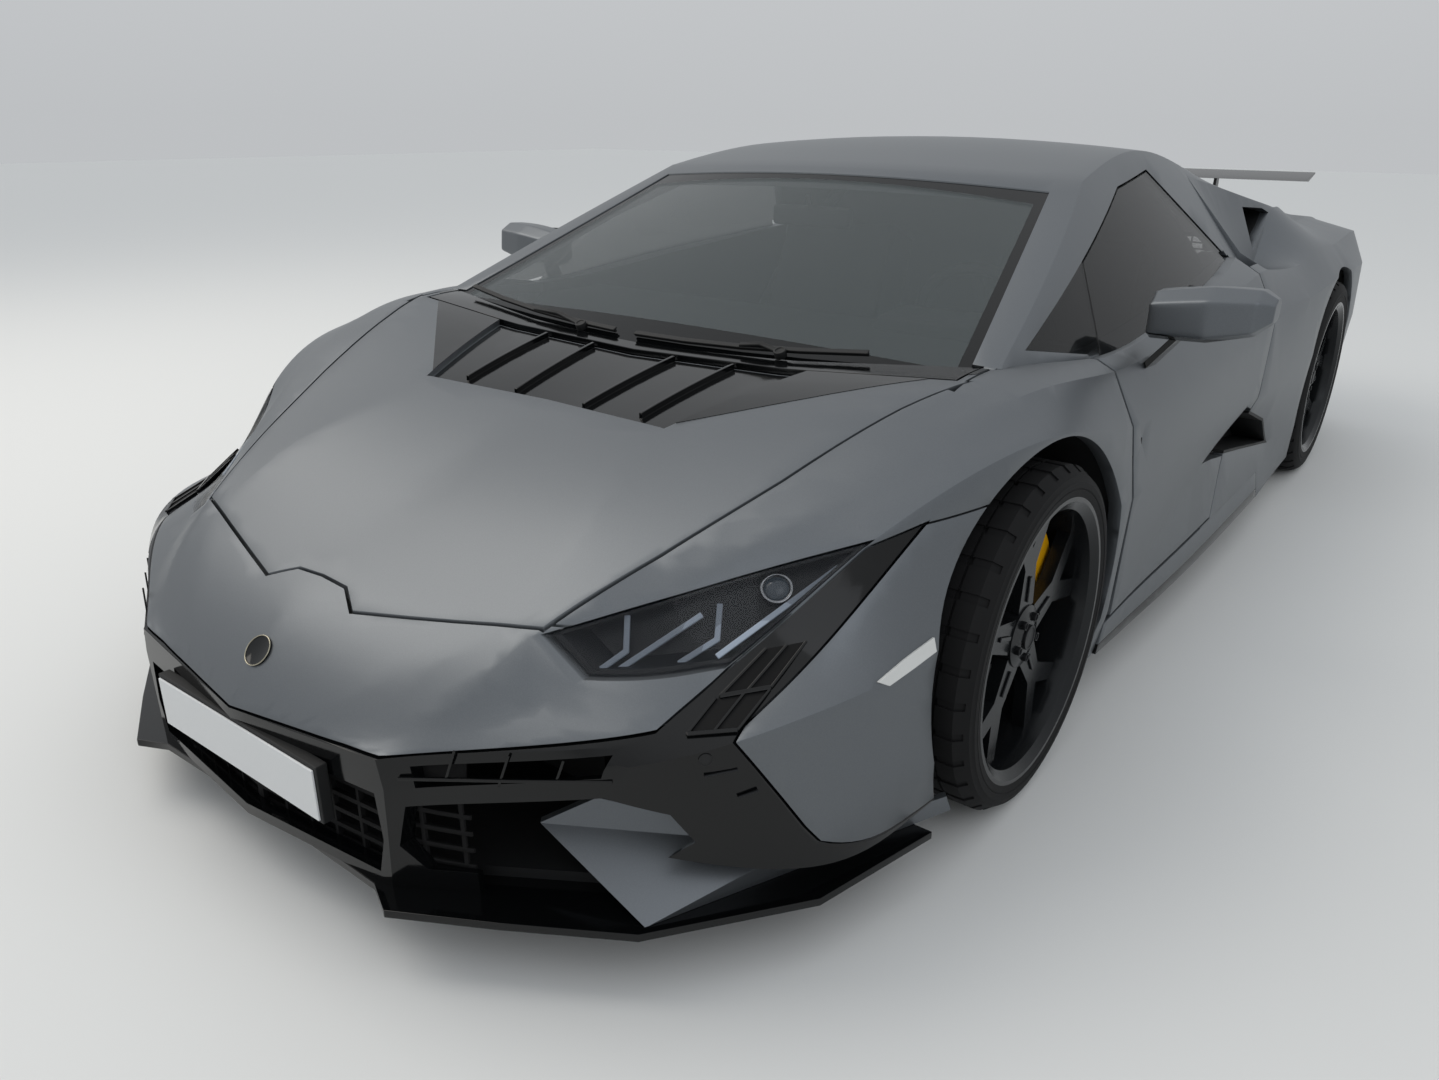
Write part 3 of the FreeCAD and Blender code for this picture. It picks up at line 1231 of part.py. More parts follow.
# Seats: side outlines (y from the front axle, z) of the middle and of the bolsters
CUSHION = ((800, 140), (1300, 140), (1350, 155), (1580, 830), (1530, 855), (1470, 840), (1300, 290),
           (860, 300), (800, 270))
BOLSTER = ((812, 140), (1300, 140), (1350, 155), (1520, 660), (1478, 724), (1404, 700), (1280, 400),
           (1230, 345), (900, 345), (830, 300))
seat = new_body("seat", ("driver_offset", FRONT_AXLE, 0))
pad(seat, sketch_on(seat, "cushion", "YZ_Plane", CUSHION), "seat_width - bolster_width", middle=True)
bolster_start = "seat_width / 2 - bolster_width"
bolster = pad(seat, sketch_on(seat, "bolster", "YZ_Plane", BOLSTER, bolster_start), "bolster_width")
doc.recompute()
other = seat.newObject("PartDesign::Mirrored", "other_bolster")
other.Originals = [bolster]
other.MirrorPlane = (plane_of(seat, "YZ_Plane"), [""])
seat.Tip = other
doc.recompute()
keep_pair("seats", seat)

# Dashboard with the steering column, and the steering wheel
DASH = ((420, 470), (300, 660), (265, 700), (420, 745), (640, 745), (720, 690), (690, 610), (500, 560),
        (470, 470))
COLUMN_FOOT = 320
WHEEL_CENTRE = ("driver_offset", FRONT_AXLE + " + 860", 705)
tilt = Rotation(Vector(1, 0, 0), size("column_angle") - 90)
panel = new_body("dash_panel", (0, FRONT_AXLE, 0))
pad(panel, sketch_on(panel, "dash_section", "YZ_Plane", DASH), 1480, middle=True)
column_foot = Vector(0, 0, -COLUMN_FOOT)
foot = tilt.multVec(column_foot)
column_at = (WHEEL_CENTRE[0], "%s + (%s)" % (WHEEL_CENTRE[1], foot.y), "705 + (%s)" % foot.z)
column = solid_of("Cylinder", "column", column_at, tilt, Radius="column_radius", Height=COLUMN_FOOT)
ready("dashboard", joined("dashboard", [panel, column]))
pieces = [
    solid_of("Torus", "grip", (0, 0, 0), Radius1="steering_wheel_radius", Radius2="steering_grip_radius"),
    solid_of("Cylinder", "boss", (0, 0, -18), Radius=48, Height=36),
]
for i, angle in enumerate((0, 180, 270)):
    turn = Rotation(Vector(0, 0, 1), angle)
    corner = turn.multVec(Vector(0, -16, -7))
    pieces.append(solid_of("Box", "wheel_spoke_%d" % i, (corner.x, corner.y, corner.z), turn,
                           Length="steering_wheel_radius", Width=32, Height=14))
socket = solid_of("Cylinder", "socket", (0, 0, -30), Radius="column_radius + pin_clearance", Height=36)
wheel = less("steering_wheel", joined("wheel_pieces", pieces), socket)
ready("steering_wheel", place(wheel, *WHEEL_CENTRE, turn=tilt))

doc.recompute()
os.makedirs("parts", exist_ok=True)
for item in doc.Objects:
    if "Invalid" in item.State or "Error" in item.State:
        raise RuntimeError("%s did not recompute" % item.Name)
broken = [name for name, item in parts.items() if item.Shape.isNull() or not item.Shape.isValid()]
if broken:
    raise RuntimeError("no valid shape: %s" % ", ".join(broken))
for name, item in parts.items():
    item.Shape.exportStep("parts/%s.step" % name)
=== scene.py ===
"""Dress the mid-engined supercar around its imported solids, in metres.

Frame: +Z up, the nose faces -Y, the car's left side is +X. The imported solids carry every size; each
class below dresses one sub-assembly of the car.
"""

import json
import logging
import math
from dataclasses import dataclass
from enum import Enum
from typing import Callable, Sequence

import bpy
from mathutils import Matrix, Vector
from mathutils.bvhtree import BVHTree


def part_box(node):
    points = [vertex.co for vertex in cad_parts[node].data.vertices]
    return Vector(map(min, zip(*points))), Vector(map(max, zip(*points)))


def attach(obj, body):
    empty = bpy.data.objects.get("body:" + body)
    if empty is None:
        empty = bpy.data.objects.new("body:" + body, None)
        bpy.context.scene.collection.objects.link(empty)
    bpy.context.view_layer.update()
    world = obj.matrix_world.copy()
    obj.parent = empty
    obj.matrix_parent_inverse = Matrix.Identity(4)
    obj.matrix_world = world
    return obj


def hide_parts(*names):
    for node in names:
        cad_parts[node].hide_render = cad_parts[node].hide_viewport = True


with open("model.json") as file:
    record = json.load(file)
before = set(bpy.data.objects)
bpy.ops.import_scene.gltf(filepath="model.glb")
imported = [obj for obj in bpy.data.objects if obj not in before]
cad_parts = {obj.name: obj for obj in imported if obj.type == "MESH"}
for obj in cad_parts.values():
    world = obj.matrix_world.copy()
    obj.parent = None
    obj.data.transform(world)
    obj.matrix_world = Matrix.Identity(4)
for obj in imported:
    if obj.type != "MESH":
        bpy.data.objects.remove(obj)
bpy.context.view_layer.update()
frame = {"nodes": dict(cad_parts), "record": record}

logging.basicConfig(level=logging.INFO, format="%(message)s")
LOG = logging.getLogger("supercar")

MM = 0.001
# Corners of a solid's triangles that lie closer than this are one corner.
SAME_PLACE = 0.02 * MM
# Angles in degrees up to which faces are shaded as one: panels with creases, rounded parts, and balls.
CREASED = 30.0
ROUNDED = 40.0
BALL = 60.0
# Distances from the frame's middle that lie outside the car, across it and along it.
BESIDE = 2.0
AHEAD = 5.0
SIDES = (("L", 1.0), ("R", -1.0))
CORNERS = ("FL", "FR", "RL", "RR")

Point = tuple[float, float, float]
Face = bpy.types.MeshPolygon
Piece = bpy.types.Object


def linear(colour: str) -> tuple[float, float, float, float]:
    """Turn an sRGB hex colour into the linear colour that a shader takes.

    Args:
        colour: The colour, as "#rrggbb".

    Returns:
        Red, green, blue and an alpha of 1.
    """
    channels = [int(colour[i:i + 2], 16) / 255 for i in (1, 3, 5)]
    turned = [c / 12.92 if c <= 0.04045 else ((c + 0.055) / 1.055) ** 2.4 for c in channels]
    return turned[0], turned[1], turned[2], 1.0


def add_node(tree: bpy.types.NodeTree, kind: str, inputs: dict | None = None, **settings) -> bpy.types.Node:
    """Add a shader node with its settings, values and links.

    Args:
        tree: The node tree.
        kind: The node's type, without its "ShaderNode" prefix.
        inputs: Socket name or number to a value or to the output socket that feeds it.
        **settings: The node's own properties.

    Returns:
        The new node.
    """
    made = tree.nodes.new("ShaderNode" + kind)
    for key, value in settings.items():
        setattr(made, key, value)
    for socket, value in (inputs or {}).items():
        if isinstance(value, bpy.types.NodeSocket):
            tree.links.new(value, made.inputs[socket])
        else:
            made.inputs[socket].default_value = value
    return made


@dataclass(frozen=True)
class Finish:
    """A surface: its colour, its gloss and how fine its moulded, cast or sprayed grain is."""

    name: str
    colour: str
    roughness: float
    metallic: float = 0.0
    ior: float = 1.5
    coat: float = 0.0
    coat_roughness: float = 0.05
    alpha: float = 1.0
    # Emission that makes an unlit part glow: painted light.
    glow: float = 0.0
    grain_mm: float = 3.0
    grain_depth_mm: float = 0.0
    variation: float = 0.02
    # Share by which the colour strays to darker and lighter.
    tone: float = 0.0

    def build(self) -> bpy.types.Material:
        """Make the material of this finish, or give the one already made.

        Returns:
            The material.
        """
        known = bpy.data.materials.get(self.name)
        if known:
            return known
        material = bpy.data.materials.new(self.name)
        material.use_nodes = True
        tree = material.node_tree
        shader = tree.nodes["Principled BSDF"]
        colour = linear(self.colour)
        shader.inputs["Base Color"].default_value = colour
        shader.inputs["Metallic"].default_value = self.metallic
        shader.inputs["Roughness"].default_value = self.roughness
        if self.metallic < 1.0:
            shader.inputs["IOR"].default_value = self.ior
        shader.inputs["Coat Weight"].default_value = self.coat
        shader.inputs["Coat Roughness"].default_value = self.coat_roughness
        shader.inputs["Alpha"].default_value = self.alpha
        if self.glow:
            shader.inputs["Emission Color"].default_value = colour
            shader.inputs["Emission Strength"].default_value = self.glow
        self.add_grain(tree, shader)
        return material

    def add_grain(self, tree: bpy.types.NodeTree, shader: bpy.types.Node) -> None:
        """Lay a fine grain over the surface: relief, gloss and tone.

        Args:
            tree: The material's node tree.
            shader: Its principled shader.
        """
        place = add_node(tree, "TexCoord")
        grain = self.pattern(tree, place.outputs["Object"])
        if self.grain_depth_mm:
            bump = add_node(
                tree, "Bump", {"Height": grain, "Distance": self.grain_depth_mm * MM, "Strength": 1.0}
            )
            tree.links.new(bump.outputs["Normal"], shader.inputs["Normal"])
        if self.variation:
            low, high = max(self.roughness - self.variation, 0.0), self.roughness + self.variation
            spread = add_node(tree, "MapRange", {"Value": grain, "To Min": low, "To Max": high})
            tree.links.new(spread.outputs["Result"], shader.inputs["Roughness"])
        if self.tone:
            red, green, blue, _ = linear(self.colour)
            ramp = add_node(tree, "ValToRGB", {"Fac": grain})
            for stop, share in zip(ramp.color_ramp.elements, (1 - self.tone, 1 + self.tone)):
                stop.color = (red * share, green * share, blue * share, 1.0)
            ramp.color_ramp.elements[0].position, ramp.color_ramp.elements[1].position = 0.3, 0.7
            tree.links.new(ramp.outputs["Color"], shader.inputs["Base Color"])

    def pattern(self, tree: bpy.types.NodeTree, place: bpy.types.NodeSocket) -> bpy.types.NodeSocket:
        """Give the height of the grain, from 0 to 1.

        Args:
            tree: The material's node tree.
            place: The object coordinates.

        Returns:
            The grain's output socket.
        """
        noise = add_node(
            tree, "TexNoise", {"Vector": place, "Scale": 1 / (self.grain_mm * MM), "Detail": 3.0}
        )
        return noise.outputs["Fac"]


@dataclass(frozen=True)
class Hide(Finish):
    """Grained leather: small rounded cells with creases between them."""

    def pattern(self, tree: bpy.types.NodeTree, place: bpy.types.NodeSocket) -> bpy.types.NodeSocket:
        """Give the height of the leather's cells.

        Args:
            tree: The material's node tree.
            place: The object coordinates.

        Returns:
            The cells' output socket.
        """
        cells = add_node(
            tree, "TexVoronoi", {"Vector": place, "Scale": 1 / (self.grain_mm * MM)}, feature="SMOOTH_F1"
        )
        return cells.outputs["Distance"]


@dataclass(frozen=True)
class Turned(Finish):
    """Metal faced on a lathe: fine rings round the axle, which runs along X."""

    # Each axle's place along the car and its height above the ground.
    axles: tuple[tuple[float, float], ...] = ((-1.2415, 0.327), (1.3785, 0.345))

    def pattern(self, tree: bpy.types.NodeTree, place: bpy.types.NodeSocket) -> bpy.types.NodeSocket:
        """Give the height of the tool marks.

        Args:
            tree: The material's node tree.
            place: The object coordinates.

        Returns:
            The rings' output socket.
        """
        split = add_node(tree, "SeparateXYZ", {"Vector": place})
        (front_y, front_z), (rear_y, rear_z) = self.axles
        is_rear = add_node(tree, "Math", {0: split.outputs["Y"], 1: 0.0}, operation="GREATER_THAN")
        along = add_node(tree, "MapRange", {"Value": is_rear.outputs[0], "To Min": front_y, "To Max": rear_y})
        above = add_node(tree, "MapRange", {"Value": is_rear.outputs[0], "To Min": front_z, "To Max": rear_z})
        from_y = add_node(
            tree, "Math", {0: split.outputs["Y"], 1: along.outputs["Result"]}, operation="SUBTRACT"
        )
        from_z = add_node(
            tree, "Math", {0: split.outputs["Z"], 1: above.outputs["Result"]}, operation="SUBTRACT"
        )
        reach = add_node(tree, "CombineXYZ", {"Y": from_y.outputs[0], "Z": from_z.outputs[0]})
        radius = add_node(tree, "VectorMath", {0: reach.outputs[0]}, operation="LENGTH")
        rings = add_node(
            tree, "Math", {0: radius.outputs["Value"], 1: self.grain_mm * MM}, operation="PINGPONG"
        )
        level = add_node(tree, "Math", {0: rings.outputs[0], 1: self.grain_mm * MM}, operation="DIVIDE")
        return level.outputs[0]


class Finishes(Enum):
    """Every finish on the car, named for what the real one is."""

    # Satin metallic lacquer over primer: aluminium flake gives a wide, soft highlight, and the matt clear
    # coat breaks it up. The flake is drawn a few times coarser than the real one, so that it shows.
    PAINT = Finish(
        "satin_metallic_lacquer", "#686c70", 0.42, metallic=0.8, coat=0.15, coat_roughness=0.32,
        grain_mm=1.6, variation=0.05, tone=0.07,
    )
    # Injection-moulded ABS under black lacquer: a sharp, dim reflection with a slight orange peel.
    GLOSS_BLACK = Finish("lacquered_black_abs", "#08090a", 0.1, ior=1.4, grain_mm=5.0, grain_depth_mm=0.02)
    # Polypropylene moulded against an etched tool: an even, dull sheen.
    TEXTURED_BLACK = Finish(
        "etched_black_polypropylene", "#111213", 0.6, ior=1.45, grain_mm=1.2, grain_depth_mm=0.05,
        variation=0.06, tone=0.1,
    )
    # Polypropylene mesh deep in the intakes: nearly no light comes back. On the flat sheets over the nose's
    # recesses the same near-black is painted shade.
    DEEP_BLACK = Finish("black_intake_mesh_and_recess_shade", "#070708", 0.8, ior=1.35, grain_mm=1.0)
    # Laminated soda-lime glass with a green solar tint: seen through, under sharp reflections.
    WINDSHIELD = Finish(
        "laminated_green_glass", "#2a3a3c", 0.015, ior=1.52, coat=1.0, coat_roughness=0.0, alpha=0.4,
        grain_mm=60.0, variation=0.01,
    )
    # Ceramic enamel fired round the edge of the glass: black, with the glass's own gloss.
    FRIT = Finish("fired_black_frit", "#060708", 0.1, ior=1.3, grain_mm=0.9, variation=0.02)
    # Toughened glass with a dark privacy tint: the cabin shows only faintly.
    PRIVACY_GLASS = Finish(
        "toughened_privacy_glass", "#07090a", 0.02, ior=1.42, alpha=0.62, grain_mm=60.0,
        variation=0.01,
    )
    # Smoked polycarbonate with a hard coat: clear enough to show the lamp, with a grey cast.
    SMOKED_LENS = Finish(
        "smoked_polycarbonate", "#1a1d22", 0.03, ior=1.45, alpha=0.22, grain_mm=40.0, variation=0.01,
    )
    # Moulded polycarbonate, dyed through: deep red and dark while it is unlit.
    RED_LENS = Finish("red_polycarbonate", "#5a0606", 0.08, ior=1.5, alpha=0.9, grain_mm=2.0)
    # Dyed acrylic rod: a thin line in the dark lens, made brighter by a painted glow though the lamp is
    # unlit.
    RED_GUIDE = Finish("red_acrylic_guide_painted_glow", "#a81410", 0.2, ior=1.49, glow=0.25, grain_mm=2.0)
    # Polycarbonate moulded with small prisms, which scatter the light and look nearly white.
    CLEAR_MARKER = Finish(
        "clear_marker_polycarbonate", "#cfd0ce", 0.2, ior=1.5, grain_mm=2.4, grain_depth_mm=0.15,
    )
    # Satin moulded housing: it stays dark behind the lens.
    LAMP_SHELL = Finish("satin_black_housing", "#15181c", 0.32, ior=1.45, grain_mm=1.5, variation=0.04)
    # Diffusing acrylic rods that carry the running light, unlit and pale; a faint painted glow makes them
    # brighter.
    LIGHT_GUIDE = Finish("frosted_acrylic_guide_painted_glow", "#8f9aa8", 0.3, ior=1.49, glow=0.06, grain_mm=1.0)
    # Plastic metallised in a vacuum: a bright mirror with a slight haze.
    REFLECTOR = Finish("vacuum_metallised_reflector", "#b9bcc0", 0.14, metallic=1.0, grain_mm=4.0)
    # Thick moulded lens: a blue-grey ball with one sharp highlight.
    BULB_LENS = Finish(
        "moulded_projector_lens", "#4b5661", 0.04, ior=1.52, coat=1.0, grain_mm=8.0, variation=0.01,
    )
    # Cast alloy, powder-coated black and lacquered: dark faces with bright edges.
    RIM_BLACK = Finish(
        "gloss_black_alloy", "#1d1f21", 0.22, metallic=0.5, ior=1.45, grain_mm=2.0, variation=0.03,
    )
    # Cast iron, faced on a lathe; its rings are drawn wider than the real ones, so that they show.
    DISC = Turned(
        "turned_dark_disc", "#4b4b4c", 0.4, metallic=0.85, grain_mm=1.6, grain_depth_mm=0.05,
        variation=0.1, tone=0.15,
    )
    # Baked enamel on cast metal: even, bright and glossy.
    CALIPER = Finish(
        "yellow_caliper_enamel", "#e0a410", 0.25, ior=1.5, grain_mm=6.0, variation=0.03, tone=0.03,
    )
    # Moulded rubber, dusty from the road: matt, with paler and darker patches.
    TYRE = Finish("moulded_tyre_rubber", "#101011", 0.8, ior=1.35, grain_mm=7.0, variation=0.08, tone=0.2)
    # Steel with a dark corrosion coat: a dull, broad sheen. On the nose's black fins the same pale steel is a
    # painted highlight.
    COATED_STEEL = Finish("coated_dark_steel_and_fin_highlight", "#2a2b2d", 0.4, metallic=0.8, grain_mm=2.5, variation=0.06)
    # Aluminium as cast in sand: grey and rough.
    CAST_ALUMINIUM = Finish(
        "cast_aluminium", "#5c5d5f", 0.6, metallic=1.0, grain_mm=2.0, grain_depth_mm=0.1,
        variation=0.06, tone=0.1,
    )
    # Hide with a pressed grain: small cells that catch a soft light.
    LEATHER = Hide(
        "black_grained_leather", "#151517", 0.55, ior=1.45, grain_mm=2.4, grain_depth_mm=0.15,
        variation=0.08, tone=0.12,
    )
    # Foamed skin with a finer grain than the hide, and duller.
    DASH = Hide(
        "grained_dash_foam", "#161719", 0.65, ior=1.4, grain_mm=1.8, grain_depth_mm=0.1,
        variation=0.05,
    )
    # Glass silvered behind: a clean mirror.
    SILVERED_GLASS = Finish(
        "silvered_mirror_glass", "#dfe2e4", 0.02, metallic=1.0, grain_mm=50.0, variation=0.01,
    )
    # Bonded cover glass of an unlit screen: black, with sharp reflections.
    SCREEN = Finish("black_screen_glass", "#0a0c10", 0.06, ior=1.5, grain_mm=30.0, variation=0.01)
    # Aluminium sheet under white paint: pale and half gloss.
    BLANK_PLATE = Finish("embossed_blank_aluminium", "#d3d5d6", 0.38, ior=1.5, grain_mm=4.0, variation=0.05)
    # Plating over zinc: a warm, softly bright ring.
    BADGE_RIM = Finish("plated_badge_rim", "#a9a391", 0.25, metallic=1.0, grain_mm=2.0)


def deselect() -> None:
    """Leave object mode with nothing selected."""
    if bpy.context.object and bpy.context.object.mode != "OBJECT":
        bpy.ops.object.mode_set(mode="OBJECT")
    bpy.ops.object.select_all(action="DESELECT")


def activate(piece: Piece) -> None:
    """Make a piece the one selected and active object.

    Args:
        piece: The object.
    """
    deselect()
    piece.select_set(True)
    bpy.context.view_layer.objects.active = piece


def settle(piece: Piece) -> None:
    """Move a piece's place, turn and scale into its mesh."""
    activate(piece)
    bpy.ops.object.transform_apply(location=True, rotation=True, scale=True)


def add_modifier(piece: Piece, kind: str, **settings) -> None:
    """Add a modifier with its settings and apply it.

    Args:
        piece: The mesh object.
        kind: The modifier's type.
        **settings: Its properties.
    """
    activate(piece)
    modifier = piece.modifiers.new(kind.lower(), kind)
    for key, value in settings.items():
        setattr(modifier, key, value)
    bpy.ops.object.modifier_apply(modifier=modifier.name)


def smooth(piece: Piece, angle: float = CREASED) -> None:
    """Shade a piece smooth up to an angle in degrees."""
    activate(piece)
    bpy.ops.object.shade_smooth_by_angle(angle=math.radians(angle))


def soften(piece: Piece, width_mm: float, segments: int = 2, angle: float = 32.0) -> None:
    """Round a piece's sharp edges.

    Args:
        piece: The mesh object.
        width_mm: The width of the rounding.
        segments: Faces across it.
        angle: The least angle that counts as sharp, in degrees.
    """
    add_modifier(
        piece, "BEVEL", width=width_mm * MM, segments=segments, limit_method="ANGLE",
        angle_limit=math.radians(angle), use_clamp_overlap=True, harden_normals=False,
    )


def dress(piece: Piece, body: str, finish: Finishes, replaced: Sequence[str] = ()) -> None:
    """Give a finished piece its material and put it on its body.

    Args:
        piece: The mesh object.
        body: The body that it moves with.
        finish: Its finish.
        replaced: The solids that it stands for.
    """
    settle(piece)
    piece.data.materials.clear()
    piece.data.materials.append(finish.value.build())
    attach(piece, body)
    if replaced:
        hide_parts(*replaced)
    LOG.info("%s: %d faces on %s", piece.name, len(piece.data.polygons), body)


def body_of_node(node: str) -> str:
    """Find the body that holds a solid.

    Args:
        node: The solid's node name.

    Returns:
        The body's name.
    """
    for body, nodes in frame["record"]["behaviour"]["bodies"].items():
        if node in nodes:
            return body
    raise KeyError(node)


def twin_of(piece: Piece, name: str) -> Piece:
    """Copy a piece with its own mesh.

    Args:
        piece: The object to copy.
        name: The copy's name.

    Returns:
        The copy.
    """
    twin = bpy.data.objects.new(name, piece.data.copy())
    bpy.context.scene.collection.objects.link(twin)
    return twin


def copy_of(node: str, name: str) -> Piece:
    """Copy a solid's mesh into a new piece with its loose triangles merged.

    Args:
        node: The solid's node name.
        name: The new piece's name.

    Returns:
        The new object.
    """
    piece = twin_of(frame["nodes"][node], name)
    activate(piece)
    bpy.ops.mesh.customdata_custom_splitnormals_clear()
    edit_all(piece)
    bpy.ops.mesh.remove_doubles(threshold=SAME_PLACE)
    bpy.ops.mesh.dissolve_degenerate(threshold=SAME_PLACE / 2)
    bpy.ops.object.mode_set(mode="OBJECT")
    return piece


def primitive(kind: str, name: str, **settings) -> Piece:
    """Add a mesh primitive as a new, selected piece.

    Args:
        kind: The primitive, such as "cube" or "cylinder".
        name: The piece's name.
        **settings: The operator's sizes and place.

    Returns:
        The new object.
    """
    deselect()
    getattr(bpy.ops.mesh, "primitive_%s_add" % kind)(**settings)
    piece = bpy.context.object
    piece.name = name
    return piece


def edit_faces(piece: Piece, wanted: Callable[[Face], bool]) -> None:
    """Enter edit mode with only some faces selected.

    Args:
        piece: The mesh object.
        wanted: The test that a face must pass.
    """
    activate(piece)
    bpy.context.tool_settings.mesh_select_mode = (False, False, True)
    picked = [wanted(face) for face in piece.data.polygons]
    for part in (piece.data.vertices, piece.data.edges):
        part.foreach_set("select", [False] * len(part))
    piece.data.polygons.foreach_set("select", picked)
    bpy.ops.object.mode_set(mode="EDIT")


def edit_all(piece: Piece) -> None:
    """Enter edit mode with all of a piece selected.

    Args:
        piece: The mesh object.
    """
    activate(piece)
    bpy.ops.object.mode_set(mode="EDIT")
    bpy.ops.mesh.select_all(action="SELECT")


def finish_edit() -> None:
    """Leave edit mode with every normal pointing outwards."""
    bpy.ops.mesh.select_all(action="SELECT")
    bpy.ops.mesh.normals_make_consistent(inside=False)
    bpy.ops.object.mode_set(mode="OBJECT")


def aim(piece: Piece, place: Vector, facing: Vector) -> None:
    """Put a piece at a place with its own Z along a direction."""
    piece.location = place
    piece.rotation_euler = facing.to_track_quat("Z", "Y").to_euler()


def box_piece(name: str, low: Point, high: Point, edge_mm: float = 1.5) -> Piece:
    """Add a box with rounded edges between two corners.

    Args:
        name: The piece's name.
        low: Its lowest corner.
        high: Its highest corner.
        edge_mm: The width of its rounded edges.

    Returns:
        The new object.
    """
    piece = primitive("cube", name, size=1.0)
    piece.scale = [b - a for a, b in zip(low, high)]
    piece.location = [(a + b) / 2 for a, b in zip(low, high)]
    settle(piece)
    soften(piece, edge_mm, 3)
    return piece


def rod_piece(
        name: str, start: Sequence[float], end: Sequence[float], radius: float, sides: int = 16
) -> Piece:
    """Add a round rod with eased ends between two points.

    Args:
        name: The piece's name.
        start: One end of its axis.
        end: The other end.
        radius: Its radius.
        sides: Faces round it.

    Returns:
        The new object.
    """
    a, b = Vector(start), Vector(end)
    piece = primitive("cylinder", name, vertices=sides, radius=radius, depth=(b - a).length)
    aim(piece, (a + b) / 2, b - a)
    settle(piece)
    soften(piece, radius * 200, 2, 60)
    smooth(piece, ROUNDED)
    return piece


def plate(name: str, corners: Sequence[Sequence[float]], push: Sequence[float]) -> Piece:
    """Extrude a flat face into a closed plate.

    Args:
        name: The piece's name.
        corners: The face's corners in order.
        push: How far and which way the face is extruded.

    Returns:
        The new object.
    """
    piece = primitive("circle", name, vertices=len(corners), radius=1.0, fill_type="NGON")
    for vertex, corner in zip(piece.data.vertices, corners):
        vertex.co = corner
    edit_faces(piece, lambda face: True)
    bpy.ops.mesh.extrude_region_move(TRANSFORM_OT_translate={"value": tuple(push)})
    finish_edit()
    return piece


def strip(name: str, path: Sequence[Sequence[float]], width: float, push: Sequence[float]) -> Piece:
    """Lay a flat bar of even width along a path, with mitred corners.

    Args:
        name: The piece's name.
        path: The points of its middle line, in one plane.
        width: Its width.
        push: Its thickness, along the plane's normal.

    Returns:
        The new object.
    """
    points = [Vector(p) for p in path]
    normal = Vector(push).normalized()
    left, right = [], []
    for i, point in enumerate(points):
        before = (point - points[i - 1]).normalized() if i else (points[1] - point).normalized()
        after = (points[i + 1] - point).normalized() if i + 1 < len(points) else before
        across = normal.cross((before + after).normalized()).normalized()
        reach = width / 2 / max(across.dot(normal.cross(before).normalized()), 0.3)
        left.append(point + across * reach)
        right.append(point - across * reach)
    return plate(name, left + right[::-1], push)


@dataclass(frozen=True)
class Boss:
    """Sizes of a round boss: its rim's width, and how far its middle is sunk, or raised if negative."""

    radius: float
    depth: float
    rim: float
    sunk: float
    sides: int = 32


def cup(name: str, centre: Sequence[float], normal: Sequence[float], boss: Boss) -> Piece:
    """Add a round boss with a sunk or raised middle.

    Args:
        name: The piece's name.
        centre: The middle of its front face.
        normal: The way that it faces.
        boss: Its sizes.

    Returns:
        The new object.
    """
    facing = Vector(normal).normalized()
    piece = primitive("cylinder", name, vertices=boss.sides, radius=boss.radius, depth=boss.depth)
    edit_faces(piece, lambda face: face.normal.z > 0.9)
    bpy.ops.mesh.inset(thickness=boss.rim)
    bpy.ops.mesh.extrude_region_move(TRANSFORM_OT_translate={"value": (0, 0, -boss.sunk)})
    finish_edit()
    aim(piece, Vector(centre) - facing * boss.depth / 2, facing)
    settle(piece)
    soften(piece, boss.rim * 250, 2, 50)
    smooth(piece, ROUNDED)
    return piece


def turned(name: str, profile: Sequence[tuple[float, float]], centre: Sequence[float], steps: int) -> Piece:
    """Spin a closed profile round an axle that runs along X.

    Args:
        name: The piece's name.
        profile: Points (distance along the axle, radius).
        centre: The middle of the axle.
        steps: Faces round the axle.

    Returns:
        The new object.
    """
    piece = primitive("circle", name, vertices=len(profile), radius=1.0, fill_type="NOTHING")
    for vertex, (along, radius) in zip(piece.data.vertices, profile):
        vertex.co = (centre[0] + along, centre[1], centre[2] + radius)
    edit_all(piece)
    bpy.ops.mesh.spin(steps=steps, angle=2 * math.pi, center=centre, axis=(1, 0, 0))
    bpy.ops.mesh.select_all(action="SELECT")
    bpy.ops.mesh.remove_doubles(threshold=0.00005)
    finish_edit()
    return piece


def joined(name: str, pieces: Sequence[Piece]) -> Piece:
    """Join several pieces into one.

    Args:
        name: The joined piece's name.
        pieces: The pieces.

    Returns:
        The joined object.
    """
    activate(pieces[0])
    for piece in pieces[1:]:
        piece.select_set(True)
    bpy.ops.object.join()
    pieces[0].name = name
    return pieces[0]


def mirrored(piece: Piece, name: str) -> Piece:
    """Make a piece's twin on the other side of the car.

    Args:
        piece: The left piece.
        name: The twin's name.

    Returns:
        The twin.
    """
    twin = twin_of(piece, name)
    twin.data.transform(Matrix.Scale(-1, 4, (1, 0, 0)))
    edit_all(twin)
    bpy.ops.mesh.flip_normals()
    bpy.ops.object.mode_set(mode="OBJECT")
    return twin


def pair(name: str, pieces: Sequence[Piece]) -> Piece:
    """Join left-hand pieces and their twins into one piece.

    Args:
        name: The joined piece's name.
        pieces: The left-hand pieces.

    Returns:
        The joined object.
    """
    left = joined(name, pieces)
    return joined(name, [left, mirrored(left, name + "_twin")])


def cut_off(piece: Piece, point: Sequence[float], normal: Sequence[float], capped: bool = True) -> None:
    """Cut away all of a piece that lies on a plane's far side.

    Args:
        piece: The mesh object.
        point: A point of the plane.
        normal: The way that the far side lies.
        capped: Whether the cut is closed.
    """
    edit_all(piece)
    bpy.ops.mesh.bisect(plane_co=tuple(point), plane_no=tuple(normal), use_fill=capped, clear_outer=True)
    bpy.ops.object.mode_set(mode="OBJECT")


